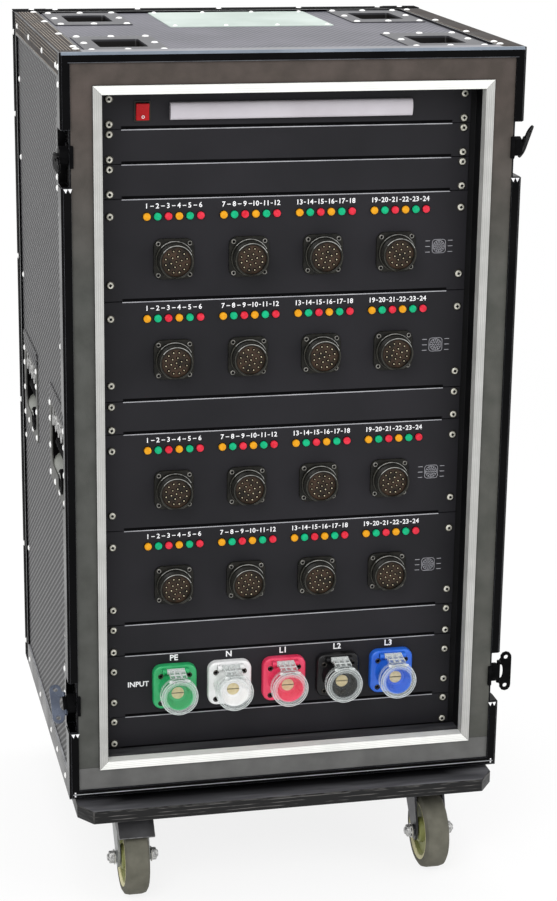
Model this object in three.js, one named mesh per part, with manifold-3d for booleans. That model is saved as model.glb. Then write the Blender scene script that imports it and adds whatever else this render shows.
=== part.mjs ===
import * as THREE from 'three';
import { mergeVertices } from 'three/addons/utils/BufferGeometryUtils.js';
import Module from 'manifold-3d';

// A 20-unit power distribution rack in a foam-mounted flight case on castors.
// Millimetres. X to the right, Y from the front plane of the case to the back, Z up from the floor.

// Rack standard
const rackUnit = 44.45;
const panelWidth = 482.6;
const panelThickness = 3;
const panelGap = 0.8;
const panelLayout = [
  { name: 'light_panel', units: 1 },
  { name: 'blank_panel_1', units: 1 },
  { name: 'blank_panel_2', units: 1 },
  { name: 'multipin_panel_1', units: 3 },
  { name: 'multipin_panel_2', units: 3 },
  { name: 'blank_panel_3', units: 1 },
  { name: 'multipin_panel_3', units: 3 },
  { name: 'multipin_panel_4', units: 3 },
  { name: 'blank_panel_4', units: 1 },
  { name: 'input_panel', units: 2 },
  { name: 'blank_panel_5', units: 1 },
];
const rackUnits = panelLayout.reduce((sum, panel) => sum + panel.units, 0);

// Case layers, from the rack outwards
const panelSetback = 45;
const sideGap = 8.4;
const stackGapTop = 7.1;
const stackGapBottom = 2;
const sleeveWall = 9;
const foamThickness = 28;
const caseWall = 10;
const caseFloorWall = 9.5;
const caseDepth = 503;
const sleeveRearInset = 12;
const foamInset = 3;
const touchGap = 0.3;
const cutOverrun = 5;
const joinOverlap = 0.5;

// Aluminium edging and trim
const edgeThickness = 3;
const edgeBevel = 3;
const edgeLeg = 29;
const rearLeg = 9;
const trimThickness = 2;
const trimDepth = 16;

// Rack rails
const railFlange = 20;
const railThickness = 2;
const railDepth = 32;

// Rear lid
const lidDepth = 30;

// Base board and castors
const boardThickness = 18;
const boardLidRoom = 31;
const boardSideInset = 6;
const packerHeight = 5.5;
const packerInset = 25;
const boardChamferWidth = 19;
const boardChamferDepth = 26;
const castorSideInset = 79;
const castorEndInset = 88;
const castorTrail = 35;
const plateLength = 100;
const plateWidth = 86;
const plateThickness = 3;
const racewayDiameter = 56;
const racewayHeight = 14;
const crownLength = 62;
const crownThickness = 3;
const crownRoom = 3.7;
const wheelDiameter = 106;
const wheelWidth = 34;
const treadEdge = 5;
const treadThickness = 13;
const hubRecess = 4;
const hubDiameter = 34;
const axleDiameter = 12;
const axleClearance = 0.5;
const armClearance = 2;
const armThickness = 3;
const axleBoss = 26;
const boltHead = 18;
const boltHeadHeight = 5;

// Brake pedal: its pivot ahead of the swivel axis, and the pedal plate from there
const pedalPivotReach = 42;
const pedalLug = 12;
const pedalTopRoom = 5;
const pedalPivotDrop = 13;
const pedalTopAhead = 16;
const pedalTipAhead = 20;
const pedalTipDrop = 22;
const pedalThickness = 2.5;

// Stacking cups in the top
const cupPlateWidth = 107;
const cupPlateLength = 160;
const cupPlateCorner = 4;
const cupWidth = 62;
const cupLength = 86;
const cupDepth = 22;
const cupSideInset = 88;
const cupFrontInset = 110;
const cupRearInset = 90;
const steelSheet = 1.5;
const panClearance = 1;

// Recessed spring handles in the sides
const handlePlateLength = 160;
const handlePlateHeight = 130;
const handlePlateCorner = 10;
const handlePanLength = 126;
const handlePanHeight = 82;
const handlePanDepth = 27;
const handlePanCorner = 18;
const handlePanSill = 3;
const handleBelowStackTop = 470;
const handleFrontInset = 93;
const handleRearInset = 103;
const gripLength = 104;
const gripDiameter = 20;
const gripReach = 34;
const gripArmWidth = 12;
const gripArmThickness = 5;
const gripPinDiameter = 7;
const gripPinInset = 12;
const gripPinDepth = 11;

// Butterfly latches in the front edge
const latchHeight = 74;
const latchDepth = 40;
const upperLatchBelowStackTop = 74;
const lowerLatchBelowStackTop = 808;
const latchFlange = 11;
const spindleInset = 16;
const spindleRise = 2;
const spindleDiameter = 26;
const camLength = 16;
const camWidth = 14;
const camThickness = 2;
const lugLength = 20;
const lugWidth = 5;
const wingSpan = 58;
const wingHeight = 18.3;
const wingLobe = 16;
const wingHole = 6.5;
const wingThickness = 2.4;
const wingArm = 6;
const wingKnuckle = 5;
const wingPinDiameter = 2.5;
const wingClearance = 2.1;
const wingShoulder = 3.4;
const crescentDepth = 3.4;
const crescentSteps = 6;
const latchPoses = {
  upper_left: { turn: -90, fold: 90 },
  upper_right: { turn: 40, fold: 45 },
  lower_left: { turn: -50, fold: 0 },
  lower_right: { turn: 0, fold: 0 },
};

// Light panel
const rockerWidth = 16.8;
const rockerHeight = 22;
const rockerProud = 3;
const rockerTilt = 8;
const rockerClearance = 0.6;
const rockerDepth = 9;
const bezelBorder = 2;
const bezelProud = 2;
const rockerEndInset = 51.3;
const diffuserStartInset = 86.3;
const diffuserEndInset = 80.3;
const diffuserHeight = 22;
const diffuserProud = 9;

// Multipin sockets and their lamps
const socketsPerPanel = 4;
const socketPitch = 98.5;
const socketRowOffset = -2.5;
const socketBelowPanelTop = 78.7;
const socketFlange = 53;
const socketFlangeCorner = 9;
const socketFlangeThickness = 4;
const socketDiameter = 45;
const socketBore = 39;
const socketProud = 24;
const socketRecess = 3;
const lampsPerGroup = 6;
const lampPitch = 14;
const lampGroupPitch = 100;
const lampDiameter = 10;
const lampProud = 4;
const lampBelowPanelTop = 23.2;

// Colour-coded input sockets with flap lids
const inputNames = ['pe', 'n', 'l1', 'l2', 'l3'];
const inputColours = [0x23a055, 0xe1e1df, 0xe13c55, 0x26262a, 0x2364c8];
const inputPitch = 76;
const inputRowOffset = 2;
const inputRowDrop = 1.8;
const inputFlangeWidth = 60;
const inputFlangeHeight = 62;
const inputFlangeCorner = 12;
const inputFlangeThickness = 10;
const spoutDiameter = 41;
const spoutBore = 33;
const spoutLength = 44;
const spoutBoreDepth = 36;
const contactDiameter = 17;
const contactSetback = 13;
const lidClearance = 3;
const lidWall = 2;
const lidRimDepth = 8;
const hingeDiameter = 7;
const hingePinDiameter = 3;
const hingeDrop = 6;
const hingeEarWidth = 6;
const hingeStandoff = 1.5;
const lidArmWidth = 24;

// Facet counts
const roundSegments = 20;
const smallSegments = 10;
const lampSegments = 6;
const cornerSegments = 2;

// Heights, built up from the floor
const castorHeight = wheelDiameter + crownRoom + crownThickness + racewayHeight + touchGap + plateThickness;
const pedalTopHeight = castorHeight - plateThickness - pedalTopRoom;
const pedalPivotHeight = pedalTopHeight - pedalPivotDrop;
const pedalTipHeight = pedalTopHeight - pedalTipDrop;
const boardTop = castorHeight + boardThickness;
const packerTop = boardTop + packerHeight;
const caseBottom = packerTop + touchGap + edgeThickness;
const foamBottom = caseBottom + caseFloorWall;
const sleeveBottom = foamBottom + foamThickness;
const sleeveFloor = sleeveBottom + sleeveWall;
const stackBottom = sleeveFloor + stackGapBottom;
const stackTop = stackBottom + rackUnits * rackUnit;
const sleeveCeiling = stackTop + stackGapTop;
const sleeveTop = sleeveCeiling + sleeveWall;
const foamTop = sleeveTop + foamThickness;
const caseTop = foamTop + caseWall;
const edgeLow = caseBottom - edgeThickness;
const edgeHigh = caseTop + edgeThickness;

// Half widths, built up from the panels
const sleeveInnerHalf = panelWidth / 2 + sideGap;
const sleeveHalf = sleeveInnerHalf + sleeveWall;
const foamHalf = sleeveHalf + foamThickness;
const caseHalf = foamHalf + caseWall;
const edgeHalf = caseHalf + edgeThickness;
const boardHalf = caseHalf - boardSideInset;
const wingPinProud = edgeThickness + wingClearance + wingThickness / 2;

// Depths, from the front plane of the case
const boardFront = -boardLidRoom;
const boardRear = caseDepth + boardLidRoom;
const lidRear = caseDepth + lidDepth;
const panelBack = panelSetback + panelThickness;
const upperLatchHeight = stackTop - upperLatchBelowStackTop;
const lowerLatchHeight = stackTop - lowerLatchBelowStackTop;
const handleHeight = stackTop - handleBelowStackTop;
const cupX = caseHalf - cupSideInset;
const handleFront = handleFrontInset;
const handleRear = caseDepth - handleRearInset;
const cupFront = cupFrontInset;
const cupRear = caseDepth - cupRearInset;
const foamFrontEnd = Math.min(handleFront - handlePanLength / 2, cupFront - cupLength / 2) - steelSheet - panClearance;
const foamRearStart = Math.max(handleRear + handlePanLength / 2, cupRear + cupLength / 2) + steelSheet + panClearance;
const castorX = boardHalf - castorSideInset;
const frontSwivel = boardFront + castorEndInset;
const pedalTopReach = pedalPivotReach + pedalTopAhead;
const pedalTipReach = pedalTopReach + pedalTipAhead;
const rearSwivel = boardRear - castorEndInset;

const wasm = await Module();
wasm.setup();

// Turns a closed three.js geometry into a solid that can be joined and cut.
function solidOf(geometry) {
  const bare = geometry.index ? geometry.clone() : geometry;
  bare.deleteAttribute('normal');
  bare.deleteAttribute('uv');
  const merged = mergeVertices(bare);
  const vertProperties = Float32Array.from(merged.attributes.position.array);
  const triVerts = Uint32Array.from(merged.index.array);
  return new wasm.Manifold(new wasm.Mesh({ numProp: 3, vertProperties, triVerts }));
}

// Makes the named mesh of one sub-part.
function piece(name, solid, material) {
  const result = solid.getMesh();
  const geometry = new THREE.BufferGeometry();
  geometry.setAttribute('position', new THREE.BufferAttribute(Float32Array.from(result.vertProperties), 3));
  geometry.setIndex(new THREE.BufferAttribute(Uint32Array.from(result.triVerts), 1));
  geometry.computeVertexNormals();
  const mesh = new THREE.Mesh(geometry, material);
  mesh.name = name;
  return mesh;
}

function finish(color, roughness, metalness, extra = {}) {
  return new THREE.MeshStandardMaterial({ color, roughness, metalness, flatShading: true, ...extra });
}

function joined(solids) {
  return solids.reduce((whole, next) => whole.add(next));
}

// A block between two corners.
function block(x0, x1, y0, y1, z0, z1) {
  const geometry = new THREE.BoxGeometry(x1 - x0, y1 - y0, z1 - z0);
  geometry.translate((x0 + x1) / 2, (y0 + y1) / 2, (z0 + z1) / 2);
  return solidOf(geometry);
}

// Outlines drawn in a plane and pushed through along one axis.
function extruded(shape, depth) {
  return new THREE.ExtrudeGeometry(shape, { depth, bevelEnabled: false, curveSegments: cornerSegments });
}

// The outline's first axis is X, its second is Z.
function prismAlongY(shape, y0, y1) {
  const geometry = extruded(shape, y1 - y0);
  const turn = new THREE.Matrix4().makeBasis(
    new THREE.Vector3(1, 0, 0),
    new THREE.Vector3(0, 0, 1),
    new THREE.Vector3(0, -1, 0),
  );
  geometry.applyMatrix4(turn);
  geometry.translate(0, y1, 0);
  return solidOf(geometry);
}

// The outline's first axis is Y, its second is Z.
function prismAlongX(shape, x0, x1) {
  const geometry = extruded(shape, x1 - x0);
  const turn = new THREE.Matrix4().makeBasis(
    new THREE.Vector3(0, 1, 0),
    new THREE.Vector3(0, 0, 1),
    new THREE.Vector3(1, 0, 0),
  );
  geometry.applyMatrix4(turn);
  geometry.translate(x0, 0, 0);
  return solidOf(geometry);
}

function prismAlongZ(shape, z0, z1) {
  const geometry = extruded(shape, z1 - z0);
  geometry.translate(0, 0, z0);
  return solidOf(geometry);
}

// A rectangle with round corners, centred on a point.
function roundRect(width, height, corner, u = 0, v = 0) {
  const shape = new THREE.Shape();
  const left = u - width / 2;
  const right = u + width / 2;
  const low = v - height / 2;
  const high = v + height / 2;
  shape.moveTo(left + corner, low);
  shape.lineTo(right - corner, low);
  shape.absarc(right - corner, low + corner, corner, -Math.PI / 2, 0, false);
  shape.lineTo(right, high - corner);
  shape.absarc(right - corner, high - corner, corner, 0, Math.PI / 2, false);
  shape.lineTo(left + corner, high);
  shape.absarc(left + corner, high - corner, corner, Math.PI / 2, Math.PI, false);
  shape.lineTo(left, low + corner);
  shape.absarc(left + corner, low + corner, corner, Math.PI, Math.PI * 1.5, false);
  return shape;
}

function outline(points) {
  return new THREE.Shape(points.map(([u, v]) => new THREE.Vector2(u, v)));
}

// Round bars along each axis.
function rodX(diameter, x0, x1, y, z, segments = smallSegments) {
  const geometry = new THREE.CylinderGeometry(diameter / 2, diameter / 2, x1 - x0, segments);
  geometry.rotateZ(Math.PI / 2);
  geometry.translate((x0 + x1) / 2, y, z);
  return solidOf(geometry);
}

function rodY(diameter, y0, y1, x, z, segments = smallSegments) {
  const geometry = new THREE.CylinderGeometry(diameter / 2, diameter / 2, y1 - y0, segments);
  geometry.translate(x, (y0 + y1) / 2, z);
  return solidOf(geometry);
}

function rodZ(diameter, z0, z1, x, y, segments = smallSegments) {
  const geometry = new THREE.CylinderGeometry(diameter / 2, diameter / 2, z1 - z0, segments);
  geometry.rotateX(Math.PI / 2);
  geometry.translate(x, y, (z0 + z1) / 2);
  return solidOf(geometry);
}

// A rectangular tube that runs from front to back, with a floor of its own thickness.
function sleeve(outerHalf, outerLow, outerHigh, wall, y0, y1, floor = wall) {
  const outside = block(-outerHalf, outerHalf, y0, y1, outerLow, outerHigh);
  const inside = block(
    -outerHalf + wall,
    outerHalf - wall,
    y0 - cutOverrun,
    y1 + cutOverrun,
    outerLow + floor,
    outerHigh - wall,
  );
  return outside.subtract(inside);
}

// A block whose front end is smaller than its back end by a bevel all round.
function taperedBlock(half, y0, y1, low, high, bevel) {
  const geometry = new THREE.BoxGeometry(2 * half, y1 - y0, high - low);
  const position = geometry.attributes.position;
  for (let index = 0; index < position.count; index += 1) {
    if (position.getY(index) < 0) {
      position.setX(index, Math.sign(position.getX(index)) * (half - bevel));
      position.setZ(index, Math.sign(position.getZ(index)) * ((high - low) / 2 - bevel));
    }
  }
  geometry.translate(0, (y0 + y1) / 2, (low + high) / 2);
  return solidOf(geometry);
}

const root = new THREE.Group();
const sides = [
  { name: 'left', sign: -1 },
  { name: 'right', sign: 1 },
];

const laminate = finish(0x5a5a5e, 0.55, 0.0);
const edging = finish(0x0e0e10, 0.4, 0.8);
const foam = finish(0x504e4a, 0.95, 0.0);
const birch = finish(0xd2d2ce, 0.35, 0.9);
const blackBoard = finish(0x2a2a2c, 0.6, 0.0);
const blackSteel = finish(0x1a1a1c, 0.45, 0.7);
const zinc = finish(0xb8bab8, 0.35, 0.95);
const panelPaint = finish(0x26262a, 0.5, 0.3);
const rubber = finish(0x7d786c, 0.7, 0.0);
const switchRed = finish(0xc0202a, 0.35, 0.0);
const clearPlastic = finish(0xe6eaee, 0.1, 0.0, { transparent: true, opacity: 0.4 });

// Places where steel pans are let into the wall, so that the wall and the foam are cut from the same values.
const cupPlaces = [];
const handlePlaces = [];
const latchPlaces = [];
for (const { name, sign } of sides) {
  cupPlaces.push({ name: `stacking_cup_front_${name}`, x: sign * cupX, y: cupFront });
  cupPlaces.push({ name: `stacking_cup_rear_${name}`, x: sign * cupX, y: cupRear });
  handlePlaces.push({ name: `front_${name}`, sign, y: handleFront });
  handlePlaces.push({ name: `rear_${name}`, sign, y: handleRear });
  latchPlaces.push({ name: `upper_${name}`, sign, z: upperLatchHeight, ...latchPoses[`upper_${name}`] });
  latchPlaces.push({ name: `lower_${name}`, sign, z: lowerLatchHeight, ...latchPoses[`lower_${name}`] });
}

// A block on the left or the right wall, given from the inner distance to the outer one.
function wallBlock(sign, inner, outer, y0, y1, z0, z1) {
  return sign > 0 ? block(inner, outer, y0, y1, z0, z1) : block(-outer, -inner, y0, y1, z0, z1);
}

// The same for an outline in Y and Z.
function wallPrism(sign, shape, inner, outer) {
  return sign > 0 ? prismAlongX(shape, inner, outer) : prismAlongX(shape, -outer, -inner);
}

// The square windows that the pans drop into, with a clearance round each pan.
function panRoom() {
  const margin = steelSheet + panClearance;
  const rooms = [];
  for (const { x, y } of cupPlaces) {
    rooms.push(block(x - cupWidth / 2 - margin, x + cupWidth / 2 + margin,
      y - cupLength / 2 - margin, y + cupLength / 2 + margin,
      caseTop - cupDepth - margin, caseTop + cutOverrun));
  }
  for (const { sign, y } of handlePlaces) {
    rooms.push(wallBlock(sign, caseHalf - handlePanDepth - margin, caseHalf + cutOverrun,
      y - handlePanLength / 2 - margin, y + handlePanLength / 2 + margin,
      handleHeight - handlePanHeight / 2 - margin, handleHeight + handlePanHeight / 2 + margin));
  }
  return joined(rooms);
}

// The notches in the front edge that the latches sit in.
function latchNotches(depth) {
  return joined(latchPlaces.map(({ sign, z }) => wallBlock(sign, caseHalf - caseWall - cutOverrun,
    caseHalf + cutOverrun, -cutOverrun, depth, z - latchHeight / 2, z + latchHeight / 2)));
}

// The plywood case, faced with laminate, open at the front and the back: its floor and side walls, and
// the top board that lies on them between the same edging.
function addCaseWalls() {
  const walls = sleeve(caseHalf, caseBottom, caseTop, caseWall, edgeThickness, caseDepth - edgeThickness,
    caseFloorWall);
  const across = caseHalf + cutOverrun;
  const aboveWalls = block(-across, across, -cutOverrun, caseDepth + cutOverrun, foamTop - touchGap,
    caseTop + cutOverrun);
  const solid = walls.subtract(joined([panRoom(), latchNotches(latchDepth), aboveWalls]));
  root.add(piece('outer_case', solid, laminate));
  const top = block(-caseHalf, caseHalf, edgeThickness, caseDepth - edgeThickness, foamTop, caseTop);
  root.add(piece('case_top', top.subtract(panRoom()), laminate));
}

// The long corner angles and the front and rear edging, mitred and riveted into one frame.
// A web covers the wall's edge at each end, the front is bevelled, and the latch dishes are let into it.
function addEdgeFrame() {
  const across = edgeHalf + cutOverrun;
  const bar = taperedBlock(edgeHalf, 0, edgeBevel, edgeLow, edgeHigh, edgeBevel)
    .add(block(-edgeHalf, edgeHalf, edgeBevel, caseDepth, edgeLow, edgeHigh));
  const wallRoom = block(-caseHalf, caseHalf, edgeThickness, caseDepth - edgeThickness, caseBottom, caseTop);
  const opening = block(-foamHalf, foamHalf, -cutOverrun, caseDepth + cutOverrun, foamBottom, foamTop);
  const sideWindow = block(-across, across, edgeLeg, caseDepth - rearLeg, caseBottom + edgeLeg, caseTop - edgeLeg);
  const topWindow = block(-caseHalf + edgeLeg, caseHalf - edgeLeg, edgeLeg, caseDepth - rearLeg,
    edgeLow - cutOverrun, edgeHigh + cutOverrun);
  const latchGaps = latchPlaces.map(({ sign, z }) => wallBlock(sign, foamHalf - cutOverrun, across,
    -cutOverrun, edgeLeg + cutOverrun, z - latchHeight / 2 + joinOverlap, z + latchHeight / 2 - joinOverlap));
  const handleRooms = sides.map(({ sign }) => wallPrism(sign, roundRect(handlePlateLength + 2 * touchGap,
    handlePlateHeight + 2 * touchGap, handlePlateCorner, handleFront, handleHeight),
  caseHalf - cutOverrun, across));
  const cuts = joined([wallRoom, opening, sideWindow, topWindow, ...latchGaps, ...handleRooms]);
  const dishes = latchPlaces.map(({ sign, z }) => latchDish(sign, z));
  root.add(piece('edge_frame', joined([bar.subtract(cuts), ...dishes]), edging));
}

// A sheet steel latch dish: a pan as deep as the wall, open at the front, with a flange on the outer face.
function latchDish(sign, z) {
  const low = z - latchHeight / 2;
  const high = z + latchHeight / 2;
  const outer = caseHalf + steelSheet;
  const inner = caseHalf - caseWall + touchGap;
  const body = wallBlock(sign, inner, outer, edgeThickness, latchDepth, low, high);
  const hollow = wallBlock(sign, inner + steelSheet, outer + cutOverrun, -cutOverrun,
    latchDepth - steelSheet, low + steelSheet, high - steelSheet);
  const flange = wallBlock(sign, caseHalf, outer, edgeLeg - joinOverlap, latchDepth + latchFlange,
    low - latchFlange, high + latchFlange);
  return body.add(flange).subtract(hollow);
}

// The foam that carries the inner rack: a bed under it, and a ring round it at the front and the back,
// clear of the pans that reach in through the walls.
function addFoam() {
  const rings = [[foamInset, foamFrontEnd], [foamRearStart, caseDepth - foamInset]].map(([from, to]) => sleeve(
    foamHalf - touchGap, foamBottom + touchGap, foamTop - touchGap, foamThickness - 2 * touchGap, from, to));
  const bed = block(-foamHalf + touchGap, foamHalf - touchGap, foamInset + joinOverlap,
    caseDepth - foamInset - joinOverlap, foamBottom + touchGap, sleeveBottom - touchGap);
  root.add(piece('shock_foam', joined([...rings, bed]), foam));
}

// The inner rack: a plywood sleeve with aluminium trim on its front edge and a rail down each side.
function addRackSleeve() {
  const box = sleeve(sleeveHalf, sleeveBottom, sleeveTop, sleeveWall, joinOverlap, caseDepth - sleeveRearInset);
  const trimWidth = sleeveWall + trimThickness;
  const trimFace = sleeve(sleeveHalf, sleeveBottom, sleeveTop, trimWidth, 0, trimThickness);
  const trimLeg = sleeve(sleeveInnerHalf + joinOverlap, sleeveFloor - joinOverlap, sleeveCeiling + joinOverlap,
    trimThickness + joinOverlap, 0, trimDepth);
  const rails = sides.flatMap(({ sign }) => [
    wallBlock(sign, panelWidth / 2 - railFlange, sleeveInnerHalf + joinOverlap, panelBack,
      panelBack + railThickness, sleeveFloor - joinOverlap, sleeveCeiling + joinOverlap),
    wallBlock(sign, sleeveInnerHalf - railThickness, sleeveInnerHalf + joinOverlap, panelBack,
      panelBack + railDepth, sleeveFloor - joinOverlap, sleeveCeiling + joinOverlap),
  ]);
  root.add(piece('rack_sleeve', joined([box, trimFace, trimLeg, ...rails]), birch));
}

// The lid that closes the back, drawn off along Y.
function addRearLid() {
  const start = caseDepth + touchGap;
  const shell = block(-edgeHalf, edgeHalf, start, lidRear, edgeLow, edgeHigh);
  const hollow = block(-foamHalf, foamHalf, start - cutOverrun, lidRear - caseWall, foamBottom, foamTop);
  root.add(piece('rear_lid', shell.subtract(hollow), laminate));
}

// The castor board, with a packer that the case stands on and the four castor top plates bolted under it.
function addBaseBoard() {
  const shape = outline([
    [-boardHalf + boardChamferWidth, boardFront],
    [boardHalf - boardChamferWidth, boardFront],
    [boardHalf, boardFront + boardChamferDepth],
    [boardHalf, boardRear - boardChamferDepth],
    [boardHalf - boardChamferWidth, boardRear],
    [-boardHalf + boardChamferWidth, boardRear],
    [-boardHalf, boardRear - boardChamferDepth],
    [-boardHalf, boardFront + boardChamferDepth],
  ]);
  const board = prismAlongZ(shape, castorHeight, boardTop);
  const packer = block(-boardHalf + packerInset, boardHalf - packerInset, packerInset, caseDepth - packerInset,
    boardTop - joinOverlap, packerTop);
  const plates = castorPlaces.map(({ x, y }) => block(x - plateLength / 2, x + plateLength / 2,
    y - plateWidth / 2, y + plateWidth / 2, castorHeight - plateThickness, castorHeight + joinOverlap));
  root.add(piece('base_board', joined([board, packer, ...plates]), blackBoard));
}

// A steel pan let into the top, where the wheel of a case above stands.
function addStackingCups() {
  for (const { name, x, y } of cupPlaces) {
    const plate = prismAlongZ(roundRect(cupPlateWidth, cupPlateLength, cupPlateCorner, x, y),
      caseTop, caseTop + steelSheet);
    const pan = prismAlongZ(
      roundRect(cupWidth + 2 * steelSheet, cupLength + 2 * steelSheet, cupPlateCorner, x, y),
      caseTop - cupDepth - steelSheet, caseTop + steelSheet);
    const hollow = prismAlongZ(roundRect(cupWidth, cupLength, cupPlateCorner, x, y),
      caseTop - cupDepth, caseTop + cutOverrun);
    root.add(piece(name, plate.add(pan).subtract(hollow), blackSteel));
  }
}

// A recessed handle: a riveted pan, and a grip that hangs in it from a pin and lifts outwards.
function addHandles() {
  const panTop = handleHeight + handlePanHeight / 2;
  const pinX = caseHalf - gripPinDepth;
  const pinZ = panTop - gripPinInset;
  for (const { name, sign, y } of handlePlaces) {
    const plate = wallPrism(sign,
      roundRect(handlePlateLength, handlePlateHeight, handlePlateCorner, y, handleHeight),
      caseHalf, caseHalf + steelSheet);
    const pan = wallPrism(sign,
      roundRect(handlePanLength + 2 * steelSheet, handlePanHeight + 2 * steelSheet, handlePanCorner, y, handleHeight),
      caseHalf - handlePanDepth - steelSheet, caseHalf + steelSheet);
    const hollow = wallPrism(sign, roundRect(handlePanLength, handlePanHeight, handlePanCorner, y, handleHeight),
      caseHalf - handlePanDepth, caseHalf + cutOverrun);
    const pin = rodX(gripPinDiameter, 0, handlePanLength + steelSheet, 0, 0);
    const pinAlongY = pin.rotate([0, 0, 90])
      .translate([sign * pinX, y - (handlePanLength + steelSheet) / 2, pinZ]);
    root.add(piece(`handle_dish_${name}`, joined([plate.add(pan).subtract(hollow), pinAlongY]), blackSteel));

    const armReach = gripReach;
    const bar = rodY(gripDiameter, -gripLength / 2, gripLength / 2, 0, -armReach, roundSegments);
    const armShape = outline([
      [-gripArmWidth / 2, gripArmWidth / 2],
      [-gripArmWidth / 2, -armReach],
      [gripArmWidth / 2, -armReach],
      [gripArmWidth / 2, gripArmWidth / 2],
    ]);
    const arms = [-1, 1].map((end) => {
      const outerY = end * gripLength / 2;
      const innerY = outerY - end * gripArmThickness;
      return prismAlongY(armShape, Math.min(outerY, innerY), Math.max(outerY, innerY));
    });
    const bore = rodY(gripPinDiameter + 2 * axleClearance, -gripLength, gripLength, 0, 0);
    const grip = piece(`handle_grip_${name}`, joined([bar, ...arms]).subtract(bore), zinc);
    grip.position.set(sign * pinX, y, pinZ);
    root.add(grip);
  }
}

// The drum of a latch: it turns on an axis square to the wall, and the wing is pinned to a lug on its face.
function latchSpindle(sign) {
  const inner = -caseWall + touchGap + steelSheet + touchGap;
  const face = wingPinProud - wingKnuckle / 2 - touchGap;
  const drum = rodX(spindleDiameter, inner, face, 0, 0);
  const cam = block(inner, inner + camThickness, -camLength, 0, -camWidth / 2, camWidth / 2);
  const lug = block(inner, wingPinProud, -lugWidth / 2, lugWidth / 2, -lugLength / 2, lugLength / 2);
  const nose = rodZ(lugWidth, -lugLength / 2, lugLength / 2, wingPinProud, 0);
  const pinReach = lugLength / 2 + touchGap + wingArm;
  const pin = rodZ(wingPinDiameter, -pinReach, pinReach, wingPinProud, 0);
  const solid = joined([drum, cam, lug, nose, pin]);
  return sign > 0 ? solid : solid.mirror([1, 0, 0]);
}

// The butterfly wing: a flat bar with a lobe at each end and a crescent cut at its root, on two arms that
// turn about the pin at either side of the lug.
function latchWing(sign) {
  const half = wingSpan / 2;
  const lobe = wingLobe / 2;
  const lobeU = wingHeight - lobe;
  const root = -wingKnuckle / 2;
  const armInner = lugLength / 2 + touchGap;
  const armOuter = armInner + wingArm;
  const crescent = [];
  for (let step = 0; step <= crescentSteps; step += 1) {
    const turn = Math.PI * (1 / 2 - step / crescentSteps);
    crescent.push([wingShoulder + crescentDepth * Math.cos(turn), armInner * Math.sin(turn)]);
  }
  const body = outline([
    [0, -armOuter],
    [lobeU, -half],
    [wingHeight, -half + lobe],
    [wingHeight, half - lobe],
    [lobeU, half],
    [0, armOuter],
    [0, armInner],
    ...crescent,
    [0, -armInner],
  ]);
  const plate = prismAlongY(body, -wingThickness / 2, wingThickness / 2);
  const lobes = [-1, 1].map((end) => rodY(wingLobe, -wingThickness / 2, wingThickness / 2, lobeU,
    end * (half - lobe)));
  const holes = [-1, 1].map((end) => rodY(wingHole, -wingThickness, wingThickness, lobeU, end * (half - lobe)));
  const knuckles = [-1, 1].map((end) => rodZ(wingKnuckle, Math.min(end * armInner, end * armOuter),
    Math.max(end * armInner, end * armOuter), 0, 0));
  const bore = rodZ(wingPinDiameter + 2 * touchGap, -half, half, 0, 0);
  const nearRoot = block(root, -root, root, -root, -half, half);
  const solid = joined([plate, ...lobes, ...knuckles]).subtract(joined([...holes, bore.intersect(nearRoot)]));
  return sign > 0 ? solid : solid.mirror([1, 0, 0]);
}

function addLatches() {
  for (const { name, sign, z, turn, fold } of latchPlaces) {
    const turned = new THREE.Group();
    turned.position.set(sign * caseHalf, spindleInset, z + spindleRise);
    turned.rotation.x = THREE.MathUtils.degToRad(turn);
    turned.add(piece(`latch_spindle_${name}`, latchSpindle(sign), blackSteel));
    const wing = piece(`latch_wing_${name}`, latchWing(sign), blackSteel);
    wing.position.x = sign * wingPinProud;
    wing.rotation.z = sign * THREE.MathUtils.degToRad(fold);
    turned.add(wing);
    root.add(turned);
  }
}

const castorPlaces = [
  { name: 'front_left', x: -castorX, y: frontSwivel, brake: true },
  { name: 'front_right', x: castorX, y: frontSwivel, brake: false },
  { name: 'rear_left', x: -castorX, y: rearSwivel, brake: false },
  { name: 'rear_right', x: castorX, y: rearSwivel, brake: true },
];
const axleHeight = wheelDiameter / 2;
const armInner = wheelWidth / 2 + armClearance;
const armOuter = armInner + armThickness;

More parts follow.
